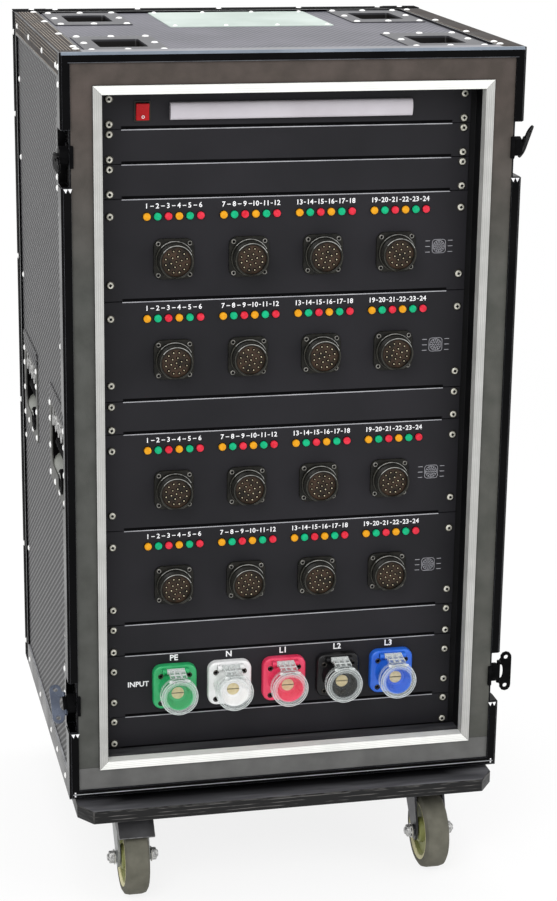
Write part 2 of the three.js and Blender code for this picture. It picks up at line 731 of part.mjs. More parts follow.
// The swivelling fork with its raceway, both arms and the axle bolt.
function castorFork(brake) {
  const racewayTop = castorHeight - plateThickness - touchGap;
  const racewayBottom = racewayTop - racewayHeight;
  const crownBottom = racewayBottom - crownThickness;
  const raceway = rodZ(racewayDiameter, racewayBottom - joinOverlap, racewayTop, 0, 0, roundSegments);
  const crown = block(-armOuter, armOuter, -crownLength / 2, crownLength / 2, crownBottom, racewayBottom);
  const boss = axleBoss / 2;
  const armShape = outline([
    [crownLength / 2, racewayBottom],
    [-crownLength / 2, racewayBottom],
    [-castorTrail - boss, axleHeight + boss],
    [-castorTrail - boss, axleHeight],
    [-castorTrail - boss / 2, axleHeight - boss],
    [-castorTrail + boss / 2, axleHeight - boss],
    [-castorTrail + boss, axleHeight],
  ]);
  const arms = [-1, 1].map((end) => (end > 0
    ? prismAlongX(armShape, armInner, armOuter)
    : prismAlongX(armShape, -armOuter, -armInner)));
  const axle = rodX(axleDiameter, -armOuter, armOuter, -castorTrail, axleHeight);
  const heads = [-1, 1].map((end) => rodX(boltHead, Math.min(end * armOuter, end * (armOuter + boltHeadHeight)),
    Math.max(end * armOuter, end * (armOuter + boltHeadHeight)), -castorTrail, axleHeight, 6));
  const parts = [raceway, crown, ...arms, axle, ...heads];
  if (brake) {
    const lugRoot = -crownLength / 2 + joinOverlap;
    for (const end of [-1, 1]) {
      const from = Math.min(end * armInner, end * armOuter);
      const to = Math.max(end * armInner, end * armOuter);
      parts.push(rodX(pedalLug, from, to, -pedalPivotReach, pedalPivotHeight));
      parts.push(block(from, to, -pedalPivotReach, lugRoot, pedalPivotHeight - pedalLug / 2,
        pedalPivotHeight + pedalLug / 3));
    }
  }
  return joined(parts);
}

// The wheel, turned about the axle: a soft tread on a dished core, open through the bore.
function castorWheel() {
  const half = wheelWidth / 2;
  const rim = wheelDiameter / 2;
  const bore = axleDiameter / 2 + axleClearance;
  const core = rim - treadThickness;
  const hub = hubDiameter / 2;
  const profile = [
    [bore, -half],
    [hub, -half],
    [hub + hubRecess, -half + hubRecess],
    [core - hubRecess, -half + hubRecess],
    [core, -half],
    [rim - treadEdge, -half],
    [rim, -half + treadEdge],
    [rim, half - treadEdge],
    [rim - treadEdge, half],
    [core, half],
    [core - hubRecess, half - hubRecess],
    [hub + hubRecess, half - hubRecess],
    [hub, half],
    [bore, half],
    [bore, -half],
  ].map(([radius, along]) => new THREE.Vector2(radius, along));
  const geometry = new THREE.LatheGeometry(profile, roundSegments);
  geometry.rotateZ(Math.PI / 2);
  return solidOf(geometry);
}

// The brake pedal: a sloping plate between two cheeks on a pin through the fork.
function brakePedal() {
  const cheekInner = armOuter + touchGap;
  const cheekOuter = cheekInner + pedalThickness;
  const plateShape = outline([
    [-pedalTopReach, pedalTopHeight],
    [-pedalTipReach, pedalTipHeight],
    [-pedalTipReach + pedalThickness, pedalTipHeight - pedalThickness],
    [-pedalTopReach + pedalThickness, pedalTopHeight - pedalThickness],
  ]);
  const cheekShape = outline([
    [-pedalTopReach, pedalTopHeight],
    [-pedalTipReach, pedalTipHeight],
    [-pedalTipReach + pedalThickness, pedalTipHeight - pedalThickness],
    [-pedalPivotReach, pedalPivotHeight - pedalLug / 2],
    [-pedalPivotReach + pedalLug / 2, pedalPivotHeight],
    [-pedalPivotReach, pedalPivotHeight + pedalLug / 2],
  ]);
  const plate = prismAlongX(plateShape, -cheekOuter, cheekOuter);
  const cheeks = [prismAlongX(cheekShape, cheekInner, cheekOuter), prismAlongX(cheekShape, -cheekOuter, -cheekInner)];
  return joined([plate, ...cheeks]);
}

function addCastors() {
  for (const { name, x, y, brake } of castorPlaces) {
    const castor = new THREE.Group();
    castor.position.set(x, y, 0);
    castor.add(piece(`castor_fork_${name}`, castorFork(brake), zinc));
    const wheel = piece(`castor_wheel_${name}`, castorWheel(), rubber);
    wheel.position.set(0, -castorTrail, axleHeight);
    castor.add(wheel);
    if (brake) {
      castor.add(piece(`brake_pedal_${name}`, brakePedal(), blackSteel));
    }
    root.add(castor);
  }
}

// A plain face plate of the panel stack, with its front on the panel plane.
function facePlate(top, units) {
  return block(-panelWidth / 2, panelWidth / 2, panelSetback, panelBack,
    top - units * rackUnit + panelGap / 2, top - panelGap / 2);
}

const rockerX = -panelWidth / 2 + rockerEndInset;

// The lamp strip and the red rocker switch in its bezel.
function lightPanel(top) {
  const z = top - rackUnit / 2;
  const bezelWidth = rockerWidth + 2 * bezelBorder;
  const bezelHeight = rockerHeight + 2 * bezelBorder;
  const bezel = block(rockerX - bezelWidth / 2, rockerX + bezelWidth / 2,
    panelSetback - bezelProud, panelBack, z - bezelHeight / 2, z + bezelHeight / 2);
  const window = block(rockerX - rockerWidth / 2 - rockerClearance,
    rockerX + rockerWidth / 2 + rockerClearance, panelSetback - bezelProud - cutOverrun,
    panelBack + cutOverrun, z - rockerHeight / 2 - rockerClearance, z + rockerHeight / 2 + rockerClearance);
  const lens = new THREE.Shape();
  lens.moveTo(panelSetback + joinOverlap, z - diffuserHeight / 2);
  lens.lineTo(panelSetback + joinOverlap, z + diffuserHeight / 2);
  lens.lineTo(panelSetback - diffuserProud / 3, z + diffuserHeight / 2);
  lens.quadraticCurveTo(panelSetback - diffuserProud, z + diffuserHeight / 2, panelSetback - diffuserProud, z);
  lens.quadraticCurveTo(panelSetback - diffuserProud, z - diffuserHeight / 2,
    panelSetback - diffuserProud / 3, z - diffuserHeight / 2);
  const diffuser = prismAlongX(lens, -panelWidth / 2 + diffuserStartInset, panelWidth / 2 - diffuserEndInset);
  return joined([facePlate(top, 1), bezel, diffuser]).subtract(window);
}

function addRocker(top) {
  const reach = rockerDepth - rockerProud;
  const sink = rockerHeight / 2 * Math.tan(THREE.MathUtils.degToRad(rockerTilt));
  const shape = outline([
    [-rockerProud - sink, rockerHeight / 2 - rockerClearance],
    [-rockerProud, 0],
    [-rockerProud - sink, -rockerHeight / 2 + rockerClearance],
    [0, -rockerHeight / 2 + rockerClearance],
    [reach, -rockerHeight / 4],
    [reach, rockerHeight / 4],
    [0, rockerHeight / 2 - rockerClearance],
  ]);
  const rocker = piece('rocker_switch', prismAlongX(shape, -rockerWidth / 2, rockerWidth / 2), switchRed);
  rocker.position.set(rockerX, panelSetback, top - rackUnit / 2);
  rocker.rotation.x = THREE.MathUtils.degToRad(rockerTilt);
  root.add(rocker);
}

// A multipin socket: a square flange and a round shell with the contact face sunk in it.
function multipinSocket(x, z) {
  const flange = prismAlongY(roundRect(socketFlange, socketFlange, socketFlangeCorner, x, z),
    panelSetback - socketFlangeThickness, panelSetback + joinOverlap);
  const shell = rodY(socketDiameter, panelSetback - socketProud, panelSetback, x, z, roundSegments);
  const bore = rodY(socketBore, panelSetback - socketProud - cutOverrun, panelSetback - socketProud + socketRecess,
    x, z, roundSegments);
  return flange.add(shell).subtract(bore);
}

function multipinPanel(top, units) {
  const parts = [facePlate(top, units)];
  for (let index = 0; index < socketsPerPanel; index += 1) {
    const place = index - (socketsPerPanel - 1) / 2;
    parts.push(multipinSocket(socketRowOffset + place * socketPitch, top - socketBelowPanelTop));
    for (let lamp = 0; lamp < lampsPerGroup; lamp += 1) {
      const x = place * lampGroupPitch + (lamp - (lampsPerGroup - 1) / 2) * lampPitch;
      parts.push(rodY(lampDiameter, panelSetback - lampProud, panelSetback + joinOverlap, x,
        top - lampBelowPanelTop, lampSegments));
    }
  }
  return joined(parts);
}

// An input socket on the panel: flange, spout with its bore, brass contact and the two hinge ears.
function inputSocket() {
  const flange = prismAlongY(roundRect(inputFlangeWidth, inputFlangeHeight, inputFlangeCorner),
    -inputFlangeThickness, 0);
  const spout = rodY(spoutDiameter, -spoutLength, -inputFlangeThickness + joinOverlap, 0, 0, roundSegments);
  const bore = rodY(spoutBore, -spoutLength - cutOverrun, -spoutLength + spoutBoreDepth, 0, 0, roundSegments);
  const contact = rodY(contactDiameter, -spoutLength + contactSetback, -spoutLength + spoutBoreDepth + joinOverlap,
    0, 0);
  const ears = [-1, 1].map((end) => {
    const inner = end * (lidArmWidth / 2 + touchGap);
    const outer = inner + end * hingeEarWidth;
    const from = Math.min(inner, outer);
    const to = Math.max(inner, outer);
    return rodX(hingeDiameter, from, to, hingeY, hingeZ)
      .add(block(from, to, hingeY, -inputFlangeThickness + joinOverlap, hingeZ - hingeDiameter / 2,
        hingeZ + hingeDiameter / 2));
  });
  const pin = rodX(hingePinDiameter, -lidArmWidth / 2 - hingeEarWidth, lidArmWidth / 2 + hingeEarWidth, hingeY, hingeZ);
  return joined([flange.add(spout).subtract(bore), contact, ...ears, pin]);
}

const hingeY = -inputFlangeThickness - hingeDiameter / 2 - hingeStandoff;
const hingeZ = inputFlangeHeight / 2 - hingeDrop;

// The clear flap lid: a cap over the spout on an arm that hangs from the hinge.
function inputLid() {
  const capOuter = spoutDiameter + 2 * (lidClearance + lidWall);
  const front = -spoutLength - lidClearance - lidWall;
  const rimEnd = -spoutLength + lidRimDepth;
  const cap = rodY(capOuter, front, rimEnd, 0, 0, roundSegments);
  const hollow = rodY(spoutDiameter + 2 * lidClearance, front + lidWall, rimEnd + cutOverrun, 0, 0, roundSegments);
  const capTop = capOuter / 2 - lidWall;
  const armShape = outline([
    [hingeY - hingeDiameter / 2, hingeZ],
    [front + lidWall, capTop - lidWall],
    [front + lidWall, capTop + lidWall],
    [hingeY, hingeZ + hingeDiameter / 2],
  ]);
  const arm = prismAlongX(armShape, -lidArmWidth / 2, lidArmWidth / 2);
  const knuckle = rodX(hingeDiameter, -lidArmWidth / 2, lidArmWidth / 2, hingeY, hingeZ);
  const bore = rodX(hingePinDiameter + 2 * touchGap, -lidArmWidth, lidArmWidth, hingeY, hingeZ);
  return joined([cap, arm, knuckle]).subtract(hollow).subtract(bore);
}

function addInputs(top, units) {
  inputNames.forEach((name, index) => {
    const input = new THREE.Group();
    const place = index - (inputNames.length - 1) / 2;
    input.position.set(inputRowOffset + place * inputPitch, panelSetback,
      top - units * rackUnit / 2 - inputRowDrop);
    input.add(piece(`input_socket_${name}`, inputSocket(), finish(inputColours[index], 0.4, 0.0)));
    input.add(piece(`input_lid_${name}`, inputLid(), clearPlastic));
    root.add(input);
  });
}

function addPanels() {
  let top = stackTop;
  for (const { name, units } of panelLayout) {
    let solid = facePlate(top, units);
    if (name === 'light_panel') {
      solid = lightPanel(top);
      addRocker(top);
    }
    if (name.startsWith('multipin')) {
      solid = multipinPanel(top, units);
    }
    if (name === 'input_panel') {
      addInputs(top, units);
    }
    root.add(piece(name, solid, panelPaint));
    top -= units * rackUnit;
  }
}

addCaseWalls();
addEdgeFrame();
addFoam();
addRackSleeve();
addRearLid();
addBaseBoard();
addStackingCups();
addHandles();
addLatches();
addCastors();
addPanels();

// The origin is on the floor, under the middle of the board and the lid together.
root.position.y = -(boardFront + boardRear) / 2;

export default root;
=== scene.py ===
"""Looks of a mobile power distribution rack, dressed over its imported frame."""

import math
import random

import bmesh
import bpy
from mathutils import Matrix, Vector
from mathutils.geometry import tessellate_polygon


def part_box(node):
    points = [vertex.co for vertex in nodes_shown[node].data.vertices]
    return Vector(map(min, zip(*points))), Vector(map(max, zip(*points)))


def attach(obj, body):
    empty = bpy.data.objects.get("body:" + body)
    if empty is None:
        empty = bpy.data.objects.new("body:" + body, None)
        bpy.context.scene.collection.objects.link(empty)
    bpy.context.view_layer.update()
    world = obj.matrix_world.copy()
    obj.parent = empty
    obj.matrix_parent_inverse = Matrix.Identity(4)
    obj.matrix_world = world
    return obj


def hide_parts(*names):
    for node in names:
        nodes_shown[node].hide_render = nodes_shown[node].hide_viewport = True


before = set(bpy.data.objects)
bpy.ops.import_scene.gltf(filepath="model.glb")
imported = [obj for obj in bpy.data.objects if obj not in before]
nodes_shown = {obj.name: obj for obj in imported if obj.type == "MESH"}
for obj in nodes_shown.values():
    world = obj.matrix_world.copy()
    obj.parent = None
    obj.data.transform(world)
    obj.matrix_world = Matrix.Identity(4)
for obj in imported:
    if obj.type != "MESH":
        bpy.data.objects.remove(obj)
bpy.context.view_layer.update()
random.seed(7)

MM = 0.001
UP, BACK, RIGHT = Vector((0, 0, 1)), Vector((0, 1, 0)), Vector((1, 0, 0))


# Sizes read from the frame
def span(node):
    """Lowest and highest corner of a CAD node at rest, in millimetres."""
    low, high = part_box(node)
    return low / MM, high / MM


def middle(node):
    low, high = span(node)
    return (low + high) / 2


case_low, case_high = span("outer_case")[0], span("case_top")[1]
edge_low, edge_high = span("edge_frame")
sleeve_low, sleeve_high = span("rack_sleeve")
panel_plane = span("blank_panel_1")[0].y
panel_half = span("blank_panel_1")[1].x
front_plane = edge_low.y
rear_plane = edge_high.y
outer_half = case_high.x


# Finishes
def linear(red, green, blue):
    """A shader colour from the values from 0 to 255 that a picture shows."""
    parts = [c / 255 for c in (red, green, blue)]
    return (*(((c + 0.055) / 1.055) ** 2.4 if c > 0.04 else c / 12.92 for c in parts), 1.0)


def ranged(tree, value, low, high, to_low=0, to_high=1):
    """A socket that follows value, spread from one range to another."""
    spread = tree.nodes.new("ShaderNodeMapRange")
    spread.inputs["From Min"].default_value = low
    spread.inputs["From Max"].default_value = high
    spread.inputs["To Min"].default_value = to_low
    spread.inputs["To Max"].default_value = to_high
    tree.links.new(value, spread.inputs["Value"])
    return spread.outputs["Result"]


MIX_FACTOR, MIX_FIRST, MIX_SECOND, MIX_RESULT = 0, 6, 7, 2


def mixed(tree, factor, first, second):
    """A colour between first and second, each a socket or the values that a picture shows."""
    mix = tree.nodes.new("ShaderNodeMix")
    mix.data_type = "RGBA"
    tree.links.new(factor, mix.inputs[MIX_FACTOR])
    for place, colour in ((MIX_FIRST, first), (MIX_SECOND, second)):
        if isinstance(colour, bpy.types.NodeSocket):
            tree.links.new(colour, mix.inputs[place])
        else:
            mix.inputs[place].default_value = linear(*colour)
    return mix.outputs[MIX_RESULT]


def noise(tree, vector, scale, detail=4.0):
    """A cloudy value, finer where scale is larger."""
    texture = tree.nodes.new("ShaderNodeTexNoise")
    texture.inputs["Scale"].default_value = scale
    texture.inputs["Detail"].default_value = detail
    tree.links.new(vector, texture.inputs["Vector"])
    return texture.outputs["Fac"]


def cloudy(tree, vector, scale, spread=0.15):
    """Soft patches from 0 to 1."""
    return ranged(tree, noise(tree, vector, scale), 0.5 - spread, 0.5 + spread)


def placed(tree, stretch=(1, 1, 1)):
    """Object coordinates in metres, stretched along the axes."""
    coordinates = tree.nodes.new("ShaderNodeTexCoord")
    mapping = tree.nodes.new("ShaderNodeMapping")
    mapping.inputs["Scale"].default_value = stretch
    tree.links.new(coordinates.outputs["Object"], mapping.inputs["Vector"])
    return mapping.outputs["Vector"]


def axes(tree, vector):
    """The sockets X, Y and Z of a vector socket."""
    split = tree.nodes.new("ShaderNodeSeparateXYZ")
    tree.links.new(vector, split.inputs["Vector"])
    return split.outputs


def facing_axes(tree):
    """X, Y and Z of the direction that a face looks in."""
    return axes(tree, tree.nodes.new("ShaderNodeNewGeometry").outputs["True Normal"])


def bumped(tree, shader, height, strength, distance):
    """Lets the shader seem raised where height is large."""
    bump = tree.nodes.new("ShaderNodeBump")
    bump.inputs["Strength"].default_value = strength
    bump.inputs["Distance"].default_value = distance
    tree.links.new(height, bump.inputs["Height"])
    tree.links.new(bump.outputs["Normal"], shader.inputs["Normal"])


def calc(tree, operation, first, second=None):
    """A maths node on one or two sockets or numbers."""
    node = tree.nodes.new("ShaderNodeMath")
    node.operation = operation
    for socket, value in zip(node.inputs, (first, second)):
        if isinstance(value, bpy.types.NodeSocket):
            tree.links.new(value, socket)
        elif value is not None:
            socket.default_value = value
    return node.outputs["Value"]


def shader_for(name, roughness, metallic=0.0, specular=0.5):
    """A new material with its node tree and its main shader."""
    material = bpy.data.materials.new(name)
    material.use_nodes = True
    tree = material.node_tree
    shader = tree.nodes["Principled BSDF"]
    shader.inputs["Roughness"].default_value = roughness
    shader.inputs["Metallic"].default_value = metallic
    shader.inputs["Specular IOR Level"].default_value = specular
    return material, tree, shader


def finish(name, colour, worn, roughness, metallic=0.0, *, patch, grain=700.0, depth=0.0,
           stretch=(1, 1, 1), spread=0.08, contrast=0.16, specular=0.5):
    """A finish with cloudy colour from colour to worn and uneven gloss; a depth gives it a fine grain."""
    material, tree, shader = shader_for(name, roughness, metallic, specular)
    at = placed(tree, stretch)
    cloud = noise(tree, at, patch)
    blend = ranged(tree, cloud, 0.5 - contrast, 0.5 + contrast)
    tree.links.new(mixed(tree, blend, colour, worn), shader.inputs["Base Color"])
    gloss = ranged(tree, cloud, 0.3, 0.7, roughness - spread, roughness + spread)
    tree.links.new(gloss, shader.inputs["Roughness"])
    if depth:
        bumped(tree, shader, noise(tree, at, grain, 2.0), 0.6, depth * MM)
    return material


# Pitches of the laminate's dots, the board's plies and the trim's grooves, in metres
DOT_PITCH, PLY_PITCH, GROOVE_PITCH = 9.0 * MM, 5.2 * MM, 2.6 * MM


def laminate_finish(name, painted_sheen_top):
    """Phenolic board face with a hexagonal grip: small raised dots in three crossing rows, and a painted sky
    sheen on faces looking up.
    """
    material, tree, shader = shader_for(name, 0.42, specular=0.2)
    place, looks = axes(tree, placed(tree)), facing_axes(tree)
    looks_back = calc(tree, "ABSOLUTE", looks["Y"])
    looks_up = calc(tree, "ABSOLUTE", looks["Z"])

    def across_face(axis, end_on):
        """The place along an axis, or along X on the faces that look along that axis."""
        here = calc(tree, "MULTIPLY", place[axis], calc(tree, "SUBTRACT", 1.0, end_on))
        return calc(tree, "ADD", here, calc(tree, "MULTIPLY", place["X"], end_on))

    turn = 2 * math.pi / DOT_PITCH / math.cos(math.radians(30))
    first = calc(tree, "MULTIPLY", across_face("Y", looks_back), turn)
    half = calc(tree, "MULTIPLY", first, -0.5)
    rise = calc(tree, "MULTIPLY", across_face("Z", looks_up), turn * math.sin(math.radians(60)))
    waves = calc(tree, "COSINE", first)
    for operation in ("ADD", "SUBTRACT"):
        waves = calc(tree, "ADD", waves, calc(tree, "COSINE", calc(tree, operation, half, rise)))
    dots = ranged(tree, waves, 0.7, 2.5)
    cloud = cloudy(tree, placed(tree), 9.0)
    side = mixed(tree, dots, mixed(tree, cloud, (12, 12, 14), (22, 21, 24)), (136, 136, 138))
    # Faces looking up get a paler bluish ground with faint dots, weighted by the second argument: a painted
    # sky sheen.
    level = mixed(tree, dots, mixed(tree, cloud, (78, 78, 86), (94, 93, 102)), (98, 98, 106))
    painted_sheen_share = calc(tree, "MULTIPLY", looks_up, painted_sheen_top)
    tree.links.new(mixed(tree, painted_sheen_share, side, level), shader.inputs["Base Color"])
    tree.links.new(ranged(tree, dots, 0, 1, 0.5, 0.3), shader.inputs["Roughness"])
    upright = calc(tree, "SUBTRACT", 1.0, calc(tree, "MULTIPLY", looks_up, 0.85))
    bumped(tree, shader, calc(tree, "MULTIPLY", waves, upright), 0.35, 0.25 * MM)
    return material


def plywood_finish():
    """Black film-faced plywood: faces painted grey with long scuffs as a painted sheen, near black by the
    case as a painted shadow, and edges with the plies as fine level lines.
    """
    material, tree, shader = shader_for("board", 0.4, specular=0.3)
    at = placed(tree)
    place = axes(tree, at)
    drift = calc(tree, "MULTIPLY", noise(tree, at, 14.0), 2.6 * MM)
    level = calc(tree, "ADD", place["Z"], drift)
    plies = calc(tree, "SINE", calc(tree, "MULTIPLY", level, 2 * math.pi / PLY_PITCH))
    edge = calc(tree, "SUBTRACT", 1.0, calc(tree, "ABSOLUTE", facing_axes(tree)["Z"]))
    broken = ranged(tree, noise(tree, placed(tree, (1, 1, 8)), 30.0), 0.45, 0.6)
    lines = calc(tree, "MULTIPLY", ranged(tree, plies, 0.6, 1.0), broken)
    rim = mixed(tree, lines, (8, 8, 9), (92, 90, 88))
    # Long streaks over a grey face: scuffs, on a grey that is a painted sheen of the black film.
    scuffs = ranged(tree, noise(tree, placed(tree, (1, 9, 1)), 9.0, 6.0), 0.42, 0.66)
    # Near black next to the case, paling outwards: a painted shadow.
    case_edge = edge_high.y * MM
    ends = ranged(tree, calc(tree, "ABSOLUTE", place["Y"]), case_edge, case_edge + 0.03)
    sides = ranged(tree, calc(tree, "ABSOLUTE", place["X"]), 0.225, 0.285, 0, 0.8)
    out_of_painted_shadow = calc(tree, "MAXIMUM", ends, sides)
    face = mixed(tree, out_of_painted_shadow, (16, 16, 18), mixed(tree, scuffs, (86, 86, 90), (122, 122, 126)))
    tree.links.new(mixed(tree, edge, face, rim), shader.inputs["Base Color"])
    gloss = ranged(tree, noise(tree, placed(tree, (1, 4, 1)), 12.0), 0.3, 0.7, 0.3, 0.5)
    tree.links.new(gloss, shader.inputs["Roughness"])
    bumped(tree, shader, calc(tree, "MULTIPLY", plies, edge), 0.3, 0.2 * MM)
    return material


def grooved_finish(name, colour, worn, axis):
    """An extrusion with fine grooves, one after another along an axis, painted a little darker in the grooves
    as painted shade.
    """
    material, tree, shader = shader_for(name, 0.34, 0.1)
    at = placed(tree)
    position = calc(tree, "ABSOLUTE", axes(tree, at)[axis])
    wave = calc(tree, "SINE", calc(tree, "MULTIPLY", position, 2 * math.pi / GROOVE_PITCH))
    face = mixed(tree, cloudy(tree, at, 30.0), colour, worn)
    # The grooves are painted darker: painted shade in them.
    dark = tuple(c * 0.93 for c in colour)
    grooved = mixed(tree, ranged(tree, wave, -1, -0.2), dark, face)
    tree.links.new(grooved, shader.inputs["Base Color"])
    bumped(tree, shader, wave, 0.3, 0.3 * MM)
    return material


def tray_finish(name, gloss, axis, low, high, patch, plate, pan, grain=0.0):
    """Pressed steel: a satin flange past low and high along an axis, and a pan behind it painted darker as
    painted shade in its hollow.
    """
    material, tree, shader = shader_for(name, *gloss)
    at = placed(tree)
    flange = ranged(tree, calc(tree, "ABSOLUTE", axes(tree, at)[axis]), low * MM, high * MM)
    steel = mixed(tree, cloudy(tree, at, patch), *plate)
    tree.links.new(mixed(tree, flange, pan, steel), shader.inputs["Base Color"])
    if grain:
        bumped(tree, shader, noise(tree, at, grain, 2.0), 0.5, 0.08 * MM)
    return material


def foam_finish():
    """Charcoal foam, a little warmer near the top, and painted paler on the right as painted light."""
    material, tree, shader = shader_for("foam", 0.95, specular=0.1)
    at = placed(tree)
    place = axes(tree, at)
    cloud = cloudy(tree, at, 28.0, 0.16)
    left = mixed(tree, cloud, (68, 69, 66), (80, 81, 78))
    # Paler on the right side: painted light.
    right = mixed(tree, cloud, (74, 75, 71), (86, 86, 82))
    top = mixed(tree, cloud, (72, 66, 62), (85, 77, 73))
    sides = mixed(tree, ranged(tree, place["X"], 0.24, 0.27), left, right)
    colour = mixed(tree, ranged(tree, place["Z"], 0.85, 1.08), sides, top)
    tree.links.new(colour, shader.inputs["Base Color"])
    bumped(tree, shader, noise(tree, at, 1500.0, 2.0), 0.6, 0.5 * MM)
    return material


def see_through(name, colour, cover):
    """Clear moulded plastic: cover is the share of light that it stops."""
    material, _, shader = shader_for(name, 0.12, specular=0.6)
    shader.inputs["Base Color"].default_value = linear(*colour)
    shader.inputs["Alpha"].default_value = cover
    return material


# The case laminate has the painted sky sheen on its upper faces; the strip over the handle flanges has none.
LAMINATE = laminate_finish("laminate", 1.0)
LAMINATE_STRIP = laminate_finish("laminate_strip", 0.0)
BOARD = plywood_finish()
FOAM = foam_finish()
# One silver trim in two copies: painted lit for the level pieces, and painted shaded for the upright pieces.
TRIM_PAINTED_LIT = grooved_finish("trim", (230, 231, 227), (244, 244, 240), "Z")
TRIM_PAINTED_SHADE = grooved_finish("trim_painted_shade", (168, 168, 165), (184, 184, 181), "X")
# The dish pan is painted near black and the cup pan dark grey: painted shade in their hollows.
DISH_STEEL = tray_finish("dish_steel", (0.45, 0.0, 0.04), "X", outer_half - 0.8, outer_half + 0.4, 40.0,
                         ((78, 78, 76), (104, 104, 101)), (4, 4, 4))
CUP_STEEL = tray_finish("cup_steel", (0.42, 0.2, 0.3), "Z", case_high.z - 2.0, case_high.z, 26.0,
                        ((58, 58, 63), (74, 74, 78)), (26, 24, 24), grain=350.0)
CLEAR = see_through("clear", (236, 242, 241), 0.02)
HAZE = see_through("clear_thick", (226, 234, 232), 0.15)
# Near-white clear plastic for edges, ribs, tabs and the knuckle, and for thin beads that are painted
# highlights.
CLEAR_EDGE_AND_HIGHLIGHT = see_through("clear_edge_and_highlight", (246, 250, 249), 0.55)
EDGING = finish("edging", (4, 4, 5), (9, 9, 10), 0.22, patch=12.0, depth=0.04, grain=500.0, specular=0.05)
# Thin pale lines on the black edging: painted highlights of its bevels.
EDGE_HIGHLIGHT_LINE = finish("edging_highlight_line", (150, 151, 154), (184, 185, 188), 0.3, 0.1, patch=30.0)
# Pale bluish edges of the black edging: worn edges and painted highlights.
EDGE_WEAR_AND_HIGHLIGHT = finish("edging_wear_and_highlight", (74, 76, 82), (112, 114, 120), 0.3, 0.2, patch=30.0)
# A pale blue band on the black edging's top bevel: painted highlight.
EDGE_HIGHLIGHT_BAND = finish("edging_highlight_band", (104, 114, 126), (126, 136, 148), 0.35, 0.2, patch=12.0)
BOARD_EDGE = finish("board_edge", (22, 22, 22), (70, 69, 68), 0.4, patch=60.0, contrast=0.1, specular=0.2)
CORNER = finish("corner_plate", (34, 28, 25), (50, 42, 38), 0.5, patch=14.0, specular=0.06)
RIB = finish("corner_rib", (116, 107, 95), (168, 158, 144), 0.45, patch=14.0, specular=0.2)
RIM = finish("lid_rim", (9, 9, 10), (14, 14, 15), 0.5, patch=12.0, specular=0.002)
CUT_METAL = finish("cut_metal", (226, 226, 228), (245, 245, 246), 0.35, 0.2, patch=60.0)
FOAM_LOW = finish("foam_low", (92, 92, 91), (104, 104, 103), 0.95, patch=28.0, depth=0.5, grain=1500.0,
                  spread=0.03, specular=0.1)
INNER = finish("sleeve_inner", (9, 9, 10), (14, 14, 16), 0.55, patch=20.0, depth=0.1, specular=0.2)
# The upward face of the black edging's front leg, painted pale bluish: painted sheen.
TOP_STRIP_SHEEN = finish("top_strip_painted_sheen", (96, 96, 102), (124, 123, 130), 0.36, 0.2, patch=9.0, specular=0.3)
FLOOR_BOARD = finish("sleeve_floor", (50, 50, 53), (76, 76, 78), 0.45, patch=16.0, stretch=(1, 6, 1),
                     specular=0.3)
BLACK_STEEL = finish("black_steel", (9, 9, 10), (16, 16, 17), 0.45, patch=60.0, depth=0.05, specular=0.01)
STEEL_EDGE = finish("steel_edge", (84, 84, 86), (132, 132, 132), 0.3, 0.3, patch=120.0)
# Black steel painted pale blue: a painted reflection of the light.
BLACK_STEEL_PAINTED_REFLECTION = finish("black_steel_painted_reflection", (70, 77, 92), (92, 100, 116), 0.26, 0.3, patch=40.0)
PEDAL = finish("pedal", (20, 20, 21), (58, 58, 60), 0.38, patch=18.0, depth=0.05, specular=0.3)
ZINC = finish("zinc", (168, 168, 166), (205, 203, 196), 0.34, 0.75, patch=80.0, depth=0.03)
HINGE = finish("hinge_steel", (92, 92, 90), (150, 150, 147), 0.34, 0.3, patch=160.0)
# The dish's steel painted pale on its lower lip: painted light.
DISH_LIP_PAINTED_LIGHT = finish("dish_lip_painted_light", (112, 114, 108), (132, 134, 127), 0.42, 0.1, patch=40.0, specular=0.3)
# Bright steel for nuts and bolts, also used for painted highlights along the handle lugs.
BOLT_AND_GLINT = finish("bolt", (126, 126, 126), (206, 206, 204), 0.3, 0.3, patch=260.0)
FORK = finish("fork", (112, 114, 114), (150, 152, 151), 0.36, 0.3, patch=30.0, depth=0.03)
# A darker copy of the fork zinc for the right forks: painted shade.
FORK_PAINTED_SHADE = finish("fork_painted_shade", (48, 48, 52), (70, 70, 74), 0.4, 0.4, patch=60.0, specular=0.3)
RIVET = finish("rivet", (240, 240, 238), (250, 250, 249), 0.35, 0.1, patch=300.0)
PANEL = finish("panel", (26, 26, 29), (36, 35, 39), 0.46, patch=6.0, depth=0.05, grain=1600.0, contrast=0.2,
               specular=0.15)
# Pale strip at the head of each panel: painted highlight.
PANEL_EDGE_HIGHLIGHT = finish("panel_edge_highlight", (146, 146, 152), (176, 176, 181), 0.35, 0.1, patch=30.0)
TREAD = finish("tread", (88, 87, 77), (104, 102, 92), 0.75, patch=50.0, depth=0.15, grain=600.0,
               specular=0.2)
HUB = finish("hub", (112, 116, 66), (134, 136, 84), 0.45, patch=40.0, depth=0.05, specular=0.3)
CREAM = finish("hub_ring", (196, 190, 140), (214, 208, 166), 0.5, patch=60.0)
LEGEND = finish("legend", (232, 232, 234), (244, 244, 246), 0.55, patch=200.0)
LEGEND_DIM = finish("legend_dim", (150, 150, 156), (176, 176, 182), 0.55, patch=200.0)
SHELL = finish("socket_shell", (20, 20, 18), (34, 33, 29), 0.33, patch=120.0, depth=0.04, specular=0.15)
SHELL_EDGE = finish("socket_edge", (44, 44, 40), (64, 63, 57), 0.3, 0.2, patch=200.0, specular=0.2)
